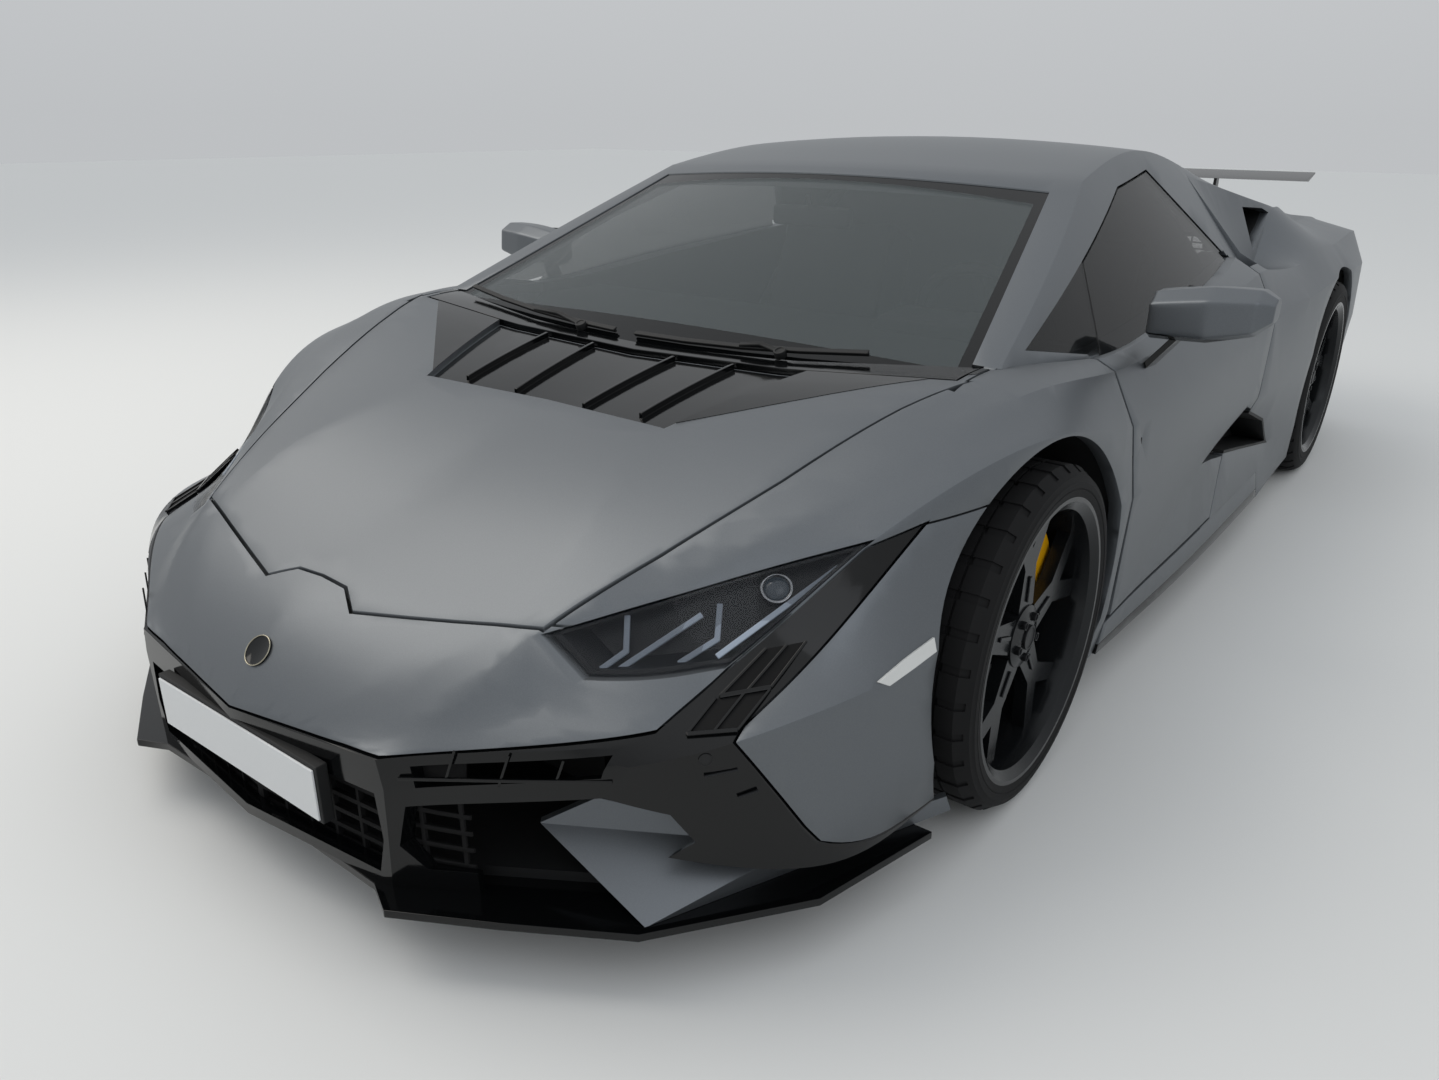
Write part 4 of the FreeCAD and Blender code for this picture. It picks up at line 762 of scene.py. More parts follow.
def parted(piece: Piece, name: str, point: Sequence[float], normal: Sequence[float]) -> Piece:
    """Cut a piece in two and give the part on the plane's far side.

    Args:
        piece: The mesh object, which keeps its near part.
        name: The far part's name.
        point: A point of the plane.
        normal: The way that the far side lies.

    Returns:
        The far part.
    """
    far = twin_of(piece, name)
    cut_off(far, point, [-c for c in normal])
    cut_off(piece, point, normal)
    return far


def thin_skin(piece: Piece, unwanted: Callable[[Face], bool], thickness: float) -> None:
    """Keep only some faces of a panel and give them a thickness outwards.

    Args:
        piece: The mesh object.
        unwanted: The test that a face must pass to be taken away.
        thickness: The skin's thickness.
    """
    edit_faces(piece, unwanted)
    bpy.ops.mesh.delete(type="FACE")
    bpy.ops.object.mode_set(mode="OBJECT")
    add_modifier(piece, "SOLIDIFY", thickness=thickness, offset=1.0)
    smooth(piece)


def landed(node: str, start: Sequence[float], toward: Sequence[float]) -> tuple[Vector, Vector]:
    """Find where a line meets a solid.

    Args:
        node: The solid's node name.
        start: Where the line starts.
        toward: The way that it runs.

    Returns:
        The place, and the way that the surface faces there.
    """
    mesh = frame["nodes"][node].data
    tree = BVHTree.FromPolygons([v.co for v in mesh.vertices], [p.vertices for p in mesh.polygons])
    place, facing, _, _ = tree.ray_cast(Vector(start), Vector(toward).normalized())
    if place is None:
        raise ValueError("%s isn't met from %s" % (node, tuple(start)))
    return place, facing


@dataclass
class Panels:
    """Painted and moulded panels: the solids with softened edges and smooth curves."""

    edge_mm: float = 1.6
    smooth_angle: float = 24.0
    # Finish, material slot and nodes.
    rows: tuple[tuple[Finishes, str, tuple[str, ...]], ...] = (
        (Finishes.PAINT, "paint", (
            "hood_panel", "front_bumper", "fender_L", "fender_R", "door_L", "door_R", "quarter_L",
            "quarter_R", "rear_bumper", "engine_cover", "cabin_frame", "winglets",
        )),
        (Finishes.GLOSS_BLACK, "satin_black", ("hood_louvre", "cowl_panel")),
        (Finishes.GLOSS_BLACK, "gloss_black", ("front_fascia", "splitter", "rear_wing")),
        (Finishes.TEXTURED_BLACK, "satin_black", ("diffuser",)),
        (Finishes.DEEP_BLACK, "satin_black", ("rear_grille",)),
        (Finishes.LAMP_SHELL, "satin_black", ("lamp_bowls",)),
        (Finishes.DASH, "dash_plastic", ("dashboard",)),
        (Finishes.CALIPER, "yellow", ("caliper_FL", "caliper_FR", "calipers_rear")),
        (Finishes.LEATHER, "leather", ("steering_wheel",)),
    )

    def build(self) -> None:
        """Dress every panel in the table."""
        for finish, slot, nodes in self.rows:
            for node in nodes:
                piece = copy_of(node, node + "_shell")
                soften(piece, self.edge_mm)
                smooth(piece, self.smooth_angle)
                # Weighted normals leave blotches on the paint's large curves.
                if finish is not Finishes.PAINT:
                    add_modifier(piece, "WEIGHTED_NORMAL", keep_sharp=True)
                dress(piece, body_of_node(node), finish, (node,))


@dataclass
class PlainSolids:
    """Solids whose shape stands as it is and that only take a finish."""

    rows: tuple[tuple[Finishes, tuple[str, ...]], ...] = (
        (Finishes.TEXTURED_BLACK, ("arch_liners", "floor_tub")),
        (Finishes.COATED_STEEL, ("wishbones", "exhaust_tips")),
        (Finishes.CAST_ALUMINIUM, ("engine_block", "knuckle_L", "knuckle_R", "rear_knuckles")),
        (Finishes.DISC, tuple("disc_" + corner for corner in CORNERS)),
    )

    def build(self) -> None:
        """Put each finish on its solids."""
        for finish, nodes in self.rows:
            for node in nodes:
                for slot in frame["nodes"][node].material_slots:
                    slot.material = finish.value.build()
                LOG.info("%s takes %s", node, finish.value.name)


@dataclass
class SplitPanels:
    """Parts in two finishes that meet at a level line: the sills and the mirrors."""

    sill_line: float = 0.147
    sill_edge_mm: float = 1.6
    mirror_line: float = 0.803
    mirror_edge_mm: float = 28
    mirror_sharp: float = 12.0
    mirror_curve: float = 50.0
    mirror_middle: float = 0.85
    flat_angle: float = 3.0
    glass_border: float = 9 * MM
    glass_reach: float = 70 * MM
    border_thickness: float = 1.2 * MM
    glass_thickness: float = 0.8 * MM
    # The mirror glass's corners: the inner (0) or outer (1) end, how far outwards from it, and the height.
    glass_corners: tuple[tuple[int, float, float], ...] = (
        (0, 0.0, 0.818), (1, -0.02, 0.812), (1, 0.0, 0.842), (1, -0.012, 0.888), (0, 0.02, 0.892),
        (0, -0.004, 0.86),
    )
    # How far the glass's inner and outer ends lie inside the mirror's own.
    glass_ends: tuple[float, float] = (0.028, 0.022)

    def build(self) -> None:
        """Dress the sills and both mirrors."""
        sill = copy_of("side_skirts", "sill_blades")
        lip = parted(sill, "sill_lips", (0, 0, self.sill_line), (0, 0, -1))
        for piece in (sill, lip):
            soften(piece, self.sill_edge_mm)
            smooth(piece)
        dress(sill, "chassis", Finishes.PAINT)
        dress(lip, "chassis", Finishes.GLOSS_BLACK)
        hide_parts("side_skirts")
        for mark, side in SIDES:
            self.add_mirror(mark, side)

    def add_mirror(self, mark: str, side: float) -> None:
        """Dress one mirror: a painted cap over a black foot and lower lip, and its glass.

        Args:
            mark: "L" or "R".
            side: 1 on the left, -1 on the right.
        """
        node = "mirror_" + mark
        body = body_of_node(node)
        cap = copy_of(node, "mirror_cap_" + mark)
        edit_faces(cap, lambda face: True)
        bpy.ops.mesh.dissolve_limited(angle_limit=math.radians(self.flat_angle))
        finish_edit()
        soften(cap, self.mirror_edge_mm, 1, self.mirror_sharp)
        add_modifier(cap, "SUBSURF", levels=2, render_levels=2)
        foot = parted(cap, "mirror_foot_" + mark, (0, 0, self.mirror_line), (0, 0, -1))
        for piece in (cap, foot):
            smooth(piece, self.mirror_curve)
        dress(cap, body, Finishes.PAINT)
        dress(foot, body, Finishes.GLOSS_BLACK)
        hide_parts(node)
        low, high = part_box(node)
        inner, outer = (low.x, high.x) if side > 0 else (high.x, low.x)
        place, _ = landed(node, ((inner + outer) / 2, 1.0, self.mirror_middle), (0, -1, 0))
        ends = (inner + side * self.glass_ends[0], outer - side * self.glass_ends[1])
        corners = [(ends[end] + side * shift, place.y, z) for end, shift, z in self.glass_corners]
        middle = sum((Vector(c) for c in corners), Vector()) / len(corners)
        border = plate("mirror_border_" + mark, corners, (0, self.border_thickness, 0))
        share = 1 - self.glass_border / self.glass_reach
        proud = Vector((0, self.border_thickness, 0))
        inset = [middle + (Vector(c) - middle) * share + proud for c in corners]
        glass = plate("mirror_glass_" + mark, inset, (0, self.glass_thickness, 0))
        for piece in (border, glass):
            soften(piece, 0.5)
        dress(border, body, Finishes.TEXTURED_BLACK)
        dress(glass, body, Finishes.SILVERED_GLASS)


@dataclass
class DoorTrim:
    """The doors' inner faces in padded trim, each with its pull."""

    thickness: float = 1.5 * MM
    inward: float = -0.5
    pull_height: float = 0.56
    # Where the pull's ends lie along the car, from the door's middle.
    pull_ends: tuple[float, float] = (-0.16, 0.10)
    pull_width: float = 30 * MM
    pull_depth: float = 26 * MM
    pull_edge_mm: float = 7

    def build(self) -> None:
        """Trim both doors."""
        for mark, side in SIDES:
            door = "door_" + mark
            trim = copy_of(door, "door_trim_" + mark)
            thin_skin(trim, lambda face, way=side: face.normal.x * way > self.inward, self.thickness)
            dress(trim, body_of_node(door), Finishes.DASH)
            low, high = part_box(door)
            middle = (low.y + high.y) / 2
            starts = [(0, middle + along, self.pull_height) for along in self.pull_ends]
            ends = [landed(door, start, (side, 0, 0))[0] for start in starts]
            pull = strip("door_pull_" + mark, ends, self.pull_width, (-side * self.pull_depth, 0, 0))
            soften(pull, self.pull_edge_mm, 3)
            smooth(pull, ROUNDED)
            dress(pull, body_of_node(door), Finishes.LEATHER)


@dataclass
class Glazing:
    """Windshield with its fired border, and the side glass."""

    sides: tuple[str, ...] = ("quarter_glass", "door_glass_L", "door_glass_R")
    # A point of each border's inner line and the way that the border lies, in plan.
    borders: tuple[tuple[Point, Point], ...] = (
        ((0.0, -1.172, 0.8), (0.0, -1.0, -0.4)),
        ((0.0, -0.552, 1.06), (0.0, 1.0, 0.4)),
        ((0.690, -1.15, 0.78), (0.978, 0.208, 0.0)),
        ((-0.690, -1.15, 0.78), (-0.978, 0.208, 0.0)),
    )

    def build(self) -> None:
        """Dress the windshield and the side glass."""
        glass = copy_of("windshield", "windshield_glass")
        bands = [parted(glass, "windshield_band_%d" % i, point, away)
                 for i, (point, away) in enumerate(self.borders)]
        frit = joined("windshield_frit", bands)
        for piece, finish in ((glass, Finishes.WINDSHIELD), (frit, Finishes.FRIT)):
            smooth(piece, ROUNDED)
            dress(piece, "chassis", finish)
        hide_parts("windshield")
        for node in self.sides:
            piece = copy_of(node, node + "_pane")
            smooth(piece, ROUNDED)
            dress(piece, body_of_node(node), Finishes.PRIVACY_GLASS, (node,))


@dataclass
class Tyres:
    """Low-profile tyres with a grooved and siped tread and a stepped sidewall."""

    groove_depth: float = 6 * MM
    pitches: int = 68
    # Edges of the tread's ribs, as shares of half its width.
    ribs: tuple[float, ...] = (0.78, 0.50, 0.46, 0.18, 0.14, -0.14, -0.18, -0.46, -0.50, -0.78)
    bead_radius: float = 256.3 * MM
    # The section's points: how far in from the widest place in mm, with mm up from the bead, the share of the
    # wall's height, and mm down from the tread.
    foot: tuple[tuple[float, float], ...] = ((14, 0), (6, 4))
    sidewall: tuple[tuple[float, float], ...] = (
        (3, 0.22), (0.5, 0.40), (2, 0.43), (0, 0.46), (0, 0.60), (2, 0.63), (4, 0.76),
    )
    shoulder: tuple[tuple[float, float], ...] = ((12, 11), (22, 4))
    # Where the sunk blocks lie, as shares of half the tyre's width, and how deep the tread reaches.
    block_band: tuple[float, float] = (0.2, 0.93)
    tread_depth: float = 8.5 * MM
    sunk_share: float = 0.6

    def profile(self, half: float, radius: float) -> list[tuple[float, float]]:
        """Draw the section of a tyre.

        Args:
            half: Half its width.
            radius: Its outer radius.

        Returns:
            Closed profile points (along the axle, radius).
        """
        wall = radius - self.bead_radius
        outer = [(half - x * MM, self.bead_radius + up * MM) for x, up in self.foot]
        outer += [(half - x * MM, self.bead_radius + share * wall) for x, share in self.sidewall]
        outer += [(half - x * MM, radius - down * MM) for x, down in self.shoulder]
        tread = [(rib * half, radius) for rib in self.ribs]
        floor = radius - self.groove_depth
        grooved = [tread[0]]
        for left, right in zip(tread[1::2], tread[2::2]):
            grooved += [left, (left[0], floor), (right[0], floor), right]
        grooved.append(tread[-1])
        return outer + grooved + [(-x, r) for x, r in reversed(outer)]

    def build(self) -> None:
        """Make the four tyres."""
        for corner in CORNERS:
            node = "tyre_" + corner
            low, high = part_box(node)
            centre = (low + high) / 2
            half, radius = (high.x - low.x) / 2 - 0.5 * MM, (high.z - low.z) / 2
            piece = turned(node + "_tread", self.profile(half, radius), tuple(centre), self.pitches * 2)
            self.cut_sipes(piece, centre, half, radius)
            smooth(piece, 35)
            dress(piece, body_of_node(node), Finishes.TYRE, (node,))

    def cut_sipes(self, piece: Piece, centre: Vector, half: float, radius: float) -> None:
        """Sink every other block of the shoulder ribs.

        Args:
            piece: The spun tyre.
            centre: Its middle.
            half: Half its width.
            radius: Its outer radius.
        """
        inner, outer = self.block_band

        def in_sipe(face: Face) -> bool:
            """Tell whether a face lies in a cross groove of the shoulder.

            Args:
                face: A face of the spun tyre.

            Returns:
                Whether it is to be sunk.
            """
            offset = face.center - centre
            step = round(math.atan2(offset.z, offset.y) / math.pi * self.pitches + 0.5)
            on_rib = inner * half < abs(offset.x) < outer * half
            on_tread = math.hypot(offset.y, offset.z) > radius - self.tread_depth
            return on_rib and on_tread and step % 4 == (0 if offset.x > 0 else 2)

        edit_faces(piece, in_sipe)
        bpy.ops.mesh.extrude_region_shrink_fatten(
            TRANSFORM_OT_shrink_fatten={"value": -self.groove_depth * self.sunk_share}
        )
        finish_edit()


@dataclass
class Wheels:
    """Forked-spoke rims with lug nuts, a blank centre cap and a ridge on each spoke."""

    spokes: int = 5
    nut_circle: float = 41 * MM
    nut: Boss = Boss(9 * MM, 11 * MM, 2 * MM, 3 * MM, 6)
    nut_lift_mm: float = 7
    cap: Boss = Boss(24 * MM, 9 * MM, 4 * MM, 1.5 * MM)
    cap_lift_mm: float = 5
    ridge_inner: float = 70 * MM
    ridge_length: float = 50 * MM
    ridge_width: float = 9 * MM
    ridge_height: float = 4 * MM
    ridge_edge_mm: float = 1.5
    edge_mm: float = 2.2
    # Distance from the axle at which the middle of the rim's face is found.
    near_axle: float = 1 * MM

    def build(self) -> None:
        """Dress the four rims."""
        for corner in CORNERS:
            node = "rim_" + corner
            body = body_of_node(node)
            rim = copy_of(node, node + "_cast")
            soften(rim, self.edge_mm)
            smooth(rim)
            add_modifier(rim, "WEIGHTED_NORMAL", keep_sharp=True)
            dress(rim, body, Finishes.RIM_BLACK, (node,))
            side = 1.0 if corner.endswith("L") else -1.0
            low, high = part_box(node)
            axle = (low + high) / 2
            dress(self.hub(node, axle, side), body, Finishes.COATED_STEEL)
            dress(self.ridges(node, axle, side), body, Finishes.RIM_BLACK)

    def face_at(self, node: str, axle: Vector, side: float, reach: float, turn: float) -> Vector:
        """Find the rim's outer face at a distance and a turn from its middle.

        Args:
            node: The rim's node.
            axle: The rim's middle.
            side: 1 on the left, -1 on the right.
            reach: The distance from the axle.
            turn: The turn round it, in radians from the top.

        Returns:
            The place on the face.
        """
        start = (side * BESIDE, axle.y + reach * math.sin(turn), axle.z + reach * math.cos(turn))
        return landed(node, start, (-side, 0, 0))[0]

    def hub(self, node: str, axle: Vector, side: float) -> Piece:
        """Make the lug nuts and the cap of one wheel.

        Args:
            node: The rim's node.
            axle: The rim's middle.
            side: 1 on the left, -1 on the right.

        Returns:
            The joined piece.
        """
        outward = Vector((side, 0, 0))
        middle = self.face_at(node, axle, side, self.near_axle, 0.0)
        place = middle + outward * self.cap_lift_mm * MM
        pieces = [cup(node + "_cap", place, outward, self.cap)]
        for i in range(self.spokes):
            turn = 2 * math.pi * (i + 0.5) / self.spokes
            seat = self.face_at(node, axle, side, self.nut_circle, turn)
            name, place = "%s_nut_%d" % (node, i), seat + outward * self.nut_lift_mm * MM
            pieces.append(cup(name, place, outward, self.nut))
        return joined(node + "_hub", pieces)

    def ridges(self, node: str, axle: Vector, side: float) -> Piece:
        """Make the raised ridge along each spoke.

        Args:
            node: The rim's node.
            axle: The rim's middle.
            side: 1 on the left, -1 on the right.

        Returns:
            The joined piece.
        """
        pieces = []
        for i in range(self.spokes):
            turn = 2 * math.pi * i / self.spokes
            inner = self.face_at(node, axle, side, self.ridge_inner, turn)
            outer = self.face_at(node, axle, side, self.ridge_inner + self.ridge_length, turn)
            push = (side * self.ridge_height, 0, 0)
            ridge = strip("%s_ridge_%d" % (node, i), (inner, outer), self.ridge_width, push)
            soften(ridge, self.ridge_edge_mm)
            pieces.append(ridge)
        return joined(node + "_ridges", pieces)


@dataclass
class Headlamps:
    """Smoked lenses over light guides and a projector in its bright ring."""

    # Middle lines of the left lamp's light guides, on the lens.
    guides: tuple[tuple[Point, ...], ...] = (
        ((0.555, -1.930, 0.529), (0.580, -1.962, 0.490), (0.563, -1.999, 0.470)),
        ((0.642, -1.860, 0.528), (0.585, -1.985, 0.472)),
        ((0.655, -1.833, 0.542), (0.674, -1.864, 0.498), (0.648, -1.924, 0.477)),
        ((0.780, -1.700, 0.594), (0.685, -1.879, 0.477)),
    )
    facing: Point = (0.40, -0.57, 0.72)
    guide_width: float = 9 * MM
    guide_depth: float = 14 * MM
    guide_height_mm: float = 5
    guide_edge_mm: float = 1.2
    projector: Point = (0.713, -1.768, 0.562)
    ring: Boss = Boss(25 * MM, 18 * MM, 4 * MM, 6 * MM)
    projector_sunk_mm: float = 13
    ball_share: float = 0.8
    ball_flatness: float = 0.45
    ball_sunk_mm: float = 5

    def build(self) -> None:
        """Dress both headlamps."""
        lens = copy_of("headlights", "headlamp_lenses")
        smooth(lens, ROUNDED)
        dress(lens, "chassis", Finishes.SMOKED_LENS, ("headlights",))
        facing = Vector(self.facing).normalized()
        guides = []
        for i, path in enumerate(self.guides):
            sunk = [Vector(p) - facing * self.guide_depth for p in path]
            push = facing * self.guide_height_mm * MM
            guide = strip("guide_%d" % i, self.levelled(sunk, facing), self.guide_width, push)
            soften(guide, self.guide_edge_mm)
            guides.append(guide)
        # The guides glow faintly though the lamps are off: painted light.
        dress(pair("headlamp_guides", guides), "chassis", Finishes.LIGHT_GUIDE)
        seat = Vector(self.projector) - facing * self.projector_sunk_mm * MM
        ring = cup("projector_ring", seat, facing, self.ring)
        dress(pair("headlamp_reflectors", [ring]), "chassis", Finishes.REFLECTOR)
        radius = self.ring.radius * self.ball_share
        ball = primitive("uv_sphere", "projector_ball", segments=32, ring_count=16, radius=radius)
        ball.scale = (1, 1, self.ball_flatness)
        aim(ball, seat - facing * self.ball_sunk_mm * MM, facing)
        settle(ball)
        smooth(ball, BALL)
        dress(pair("headlamp_projectors", [ball]), "chassis", Finishes.BULB_LENS)

    def levelled(self, path: Sequence[Vector], facing: Vector) -> list[Vector]:
        """Bring a path's points into one plane square to the lamp's facing.

        Args:
            path: The points.
            facing: The lamp's facing.

        Returns:
            The moved points.
        """
        level = sum(p.dot(facing) for p in path) / len(path)
        return [p + facing * (level - p.dot(facing)) for p in path]


@dataclass
class NoseTrim:
    """Small parts of the nose: recesses in painted shade, sensors, slot bars, marker lamps, badge and plate.
    """

    # Corners of each slanted recess on the left black block, where a near-black sheet paints the shade
    # inside.
    recesses: tuple[tuple[Point, ...], ...] = (
        ((0.738, -1.828, 0.486), (0.780, -1.785, 0.494), (0.773, -1.865, 0.449), (0.722, -1.920, 0.441)),
        ((0.720, -1.926, 0.440), (0.774, -1.869, 0.447), (0.776, -1.949, 0.419), (0.722, -1.995, 0.414)),
    )
    # Outer corners of the marker lamp ahead of the left wheel arch, along the car and up.
    marker: tuple[tuple[float, float], ...] = (
        (-1.735, 0.436), (-1.670, 0.452), (-1.606, 0.467), (-1.608, 0.445), (-1.660, 0.434), (-1.715, 0.424),
    )
    marker_push: Point = (5 * MM, -1.2 * MM, 1.5 * MM)
    marker_sunk: float = 1.5 * MM
    marker_edge_mm: float = 1.2
    badge: Boss = Boss(27 * MM, 6 * MM, 3 * MM, 0.8 * MM, 48)
    badge_lift_mm: float = 2.4
    badge_rim_lift_mm: float = 2.6
    badge_rim_radius: float = 1.1 * MM
    plate_low: Point = (-0.23, -2.2805, 0.212)
    plate_high: Point = (0.23, -2.2765, 0.302)
    plate_edge_mm: float = 1.2
    plate_border: float = 6 * MM
    holder_back: float = -2.2560
    # Lower ends of the bars that divide the slot, across the car, and how far each leans outwards.
    slot_bars: tuple[float, ...] = (0.435, 0.505, 0.575)
    slot_lean: float = 0.016
    slot_heights: tuple[float, float] = (0.325, 0.378)
    # Width and thickness of those bars and of the lip.
    slot_bar: tuple[float, float] = (4 * MM, 3 * MM)
    lip_bar: tuple[float, float] = (5 * MM, 5 * MM)
    slot_lip: tuple[tuple[float, float], ...] = ((0.372, 0.322), (0.52, 0.337), (0.652, 0.352))
    # Ends of the fins on the black block; their pale steel finish paints the highlights along the louvres'
    # edges.
    fins: tuple[tuple[Point, Point], ...] = (
        ((0.754, -1.997, 0.363), (0.785, -1.960, 0.367)),
        ((0.786, -1.961, 0.322), (0.805, -1.938, 0.329)),
    )
    fin_width: float = 3 * MM
    fin_push: Point = (3 * MM, -2.4 * MM, 0)
    sensor: Point = (0.7575, -1.9975, 0.389)
    sensor_boss: Boss = Boss(10 * MM, 6 * MM, 1.6 * MM, 0.8 * MM, 24)
    sensor_facing: Point = (0.71, -0.70, 0)
    # The lift off the solid and the thickness of a recess's painted-shade sheet; width and height of its
    # vanes and of its ledge.
    recess_mm: tuple[float, float] = (0.2, 0.5)
    vane_mm: tuple[float, float] = (4, 4)
    ledge_mm: tuple[float, float] = (7, 5)
    vane_shares: tuple[float, ...] = (0.0, 0.52, 1.0)
    edge_mm: float = 0.8
    badge_height: float = 0.402
    fascia_facing: Point = (0.58, -0.80, 0.1)
    # Two corners that the fascia's plan line runs through.
    plan_line: tuple[tuple[float, float], ...] = ((0.345, -2.2415), (0.680, -2.058))

    def build(self) -> None:
        """Make every small part of the nose."""
        self.add_recesses()
        self.add_slot_bars()
        self.add_fins()
        self.add_markers()
        self.add_badge()
        self.add_plate()

    def add_recesses(self) -> None:
        """Lay a near-black sheet of painted shade in each of the two slanted recesses of the black block,
        each with its vanes.
        """
        panels, vanes = [], []
        (lift, depth), (width, height) = self.recess_mm, self.vane_mm
        ledge_width, ledge_height = self.ledge_mm
        for number, corners in enumerate(self.recesses):
            a, b, c, d = (Vector(p) for p in corners)
            facing = (c - a).cross(b - d).normalized()
            if facing.z < 0:
                facing.negate()
            raised = [p + facing * lift * MM for p in (a, b, c, d)]
            # A flat near-black sheet, lifted off the block, is painted shade for the recess's dark inside.
            panels.append(plate("recess_%d" % number, raised, facing * depth * MM))
            for share in self.vane_shares:
                top, foot = a.lerp(b, share), d.lerp(c, share)
                vanes.append(strip("vane_%d" % number, (top, foot), width * MM, facing * height * MM))
            vanes.append(strip("ledge_%d" % number, (d, c), ledge_width * MM, facing * ledge_height * MM))
        for vane in vanes:
            soften(vane, self.edge_mm)
        dress(pair("nose_recess_painted_shade", panels), "chassis", Finishes.DEEP_BLACK)
        dress(pair("nose_recess_vanes", vanes), "chassis", Finishes.GLOSS_BLACK)

    def add_slot_bars(self) -> None:
        """Divide the slot under the painted edge and give it a thin lower lip."""
        bars = []
        low, high = self.slot_heights
        for x in self.slot_bars:
            bars.append(self.on_fascia("slot_bar", ((x, low), (x + self.slot_lean, high)), *self.slot_bar))
        bars.append(self.on_fascia("slot_lip", self.slot_lip, *self.lip_bar))
        dress(pair("nose_slot_bars", bars), "chassis", Finishes.GLOSS_BLACK)

    def on_fascia(
            self, name: str, path: Sequence[tuple[float, float]], width: float, thickness: float
    ) -> Piece:
        """Lay a bar over the left half of the black fascia.

        Args:
            name: The bar's name.
            path: Its middle line, across the car and up.
            width: Its width.
            thickness: Its thickness.

        Returns:
            The bar.
        """
        facing = Vector(self.fascia_facing).normalized()
        (start_x, start_y), (end_x, end_y) = self.plan_line
        points = []
        for x, z in path:
            share = (x - start_x) / (end_x - start_x)
            points.append(Vector((x, start_y + share * (end_y - start_y), z)))
        bar = strip(name, points, width, facing * thickness)
        soften(bar, self.edge_mm)
        return bar

    def add_fins(self) -> None:
        """Make the fins, whose pale steel is a painted highlight on the black louvres' edges, and the parking
        sensor on the block ahead of the wheel.
        """
        fins = []
        for start, end in self.fins:
            fins.append(strip("block_fin_highlight", (start, end), self.fin_width, self.fin_push))
        for fin in fins:
            soften(fin, self.edge_mm)
        # The pale steel finish paints the highlights that the black louvres' edges catch.
        dress(pair("nose_fins_painted_highlight", fins), "chassis", Finishes.COATED_STEEL)
        sensor = cup("sensor", self.sensor, self.sensor_facing, self.sensor_boss)
        dress(pair("parking_sensors", [sensor]), "chassis", Finishes.TEXTURED_BLACK)

    def add_markers(self) -> None:
        """Make the side marker lamps on the bumper's skin."""
        corners = []
        for y, z in self.marker:
            place, _ = landed("front_bumper", (BESIDE, y, z), (-1, 0, 0))
            corners.append(place - Vector((self.marker_sunk, 0, 0)))
        lamp = plate("marker_lens", corners, self.marker_push)
        soften(lamp, self.marker_edge_mm)
        dress(pair("side_markers", [lamp]), "chassis", Finishes.CLEAR_MARKER)

    def add_badge(self) -> None:
        """Put a plain round blank where a badge would be."""
        place, facing = landed("front_bumper", (0, -AHEAD, self.badge_height), (0, 1, 0))
        disc = cup("badge_blank", place + facing * self.badge_lift_mm * MM, facing, self.badge)
        dress(disc, "chassis", Finishes.GLOSS_BLACK)
        ring = primitive(
            "torus", "badge_rim", major_radius=self.badge.radius - 1 * MM, minor_radius=self.badge_rim_radius,
            major_segments=64, minor_segments=10,
        )
        aim(ring, place + facing * self.badge_rim_lift_mm * MM, facing)
        smooth(ring, BALL)
        dress(ring, "chassis", Finishes.BADGE_RIM)

    def add_plate(self) -> None:
        """Hang a blank plate in its frame on the fascia."""
        low, high = self.plate_low, self.plate_high
        blank = box_piece("front_plate_blank", low, high, self.plate_edge_mm)
        dress(blank, "chassis", Finishes.BLANK_PLATE)
        border = self.plate_border
        holder_low = (low[0] - border, high[1], low[2] - border)
        holder_high = (high[0] + border, self.holder_back, high[2] + border)
        holder = box_piece("front_plate_holder", holder_low, holder_high, 2)
        dress(holder, "chassis", Finishes.TEXTURED_BLACK)


@dataclass
class IntakeMesh:
    """The nose's mesh, whose cross bars end where the winglets begin."""

    half_width: float = 0.452

    def build(self) -> None:
        """Trim the solid's bars."""
        bars = copy_of("front_grille", "intake_bars")
        for _, side in SIDES:
            cut_off(bars, (side * self.half_width, 0, 0), (side, 0, 0))
        dress(bars, "chassis", Finishes.DEEP_BLACK, ("front_grille",))


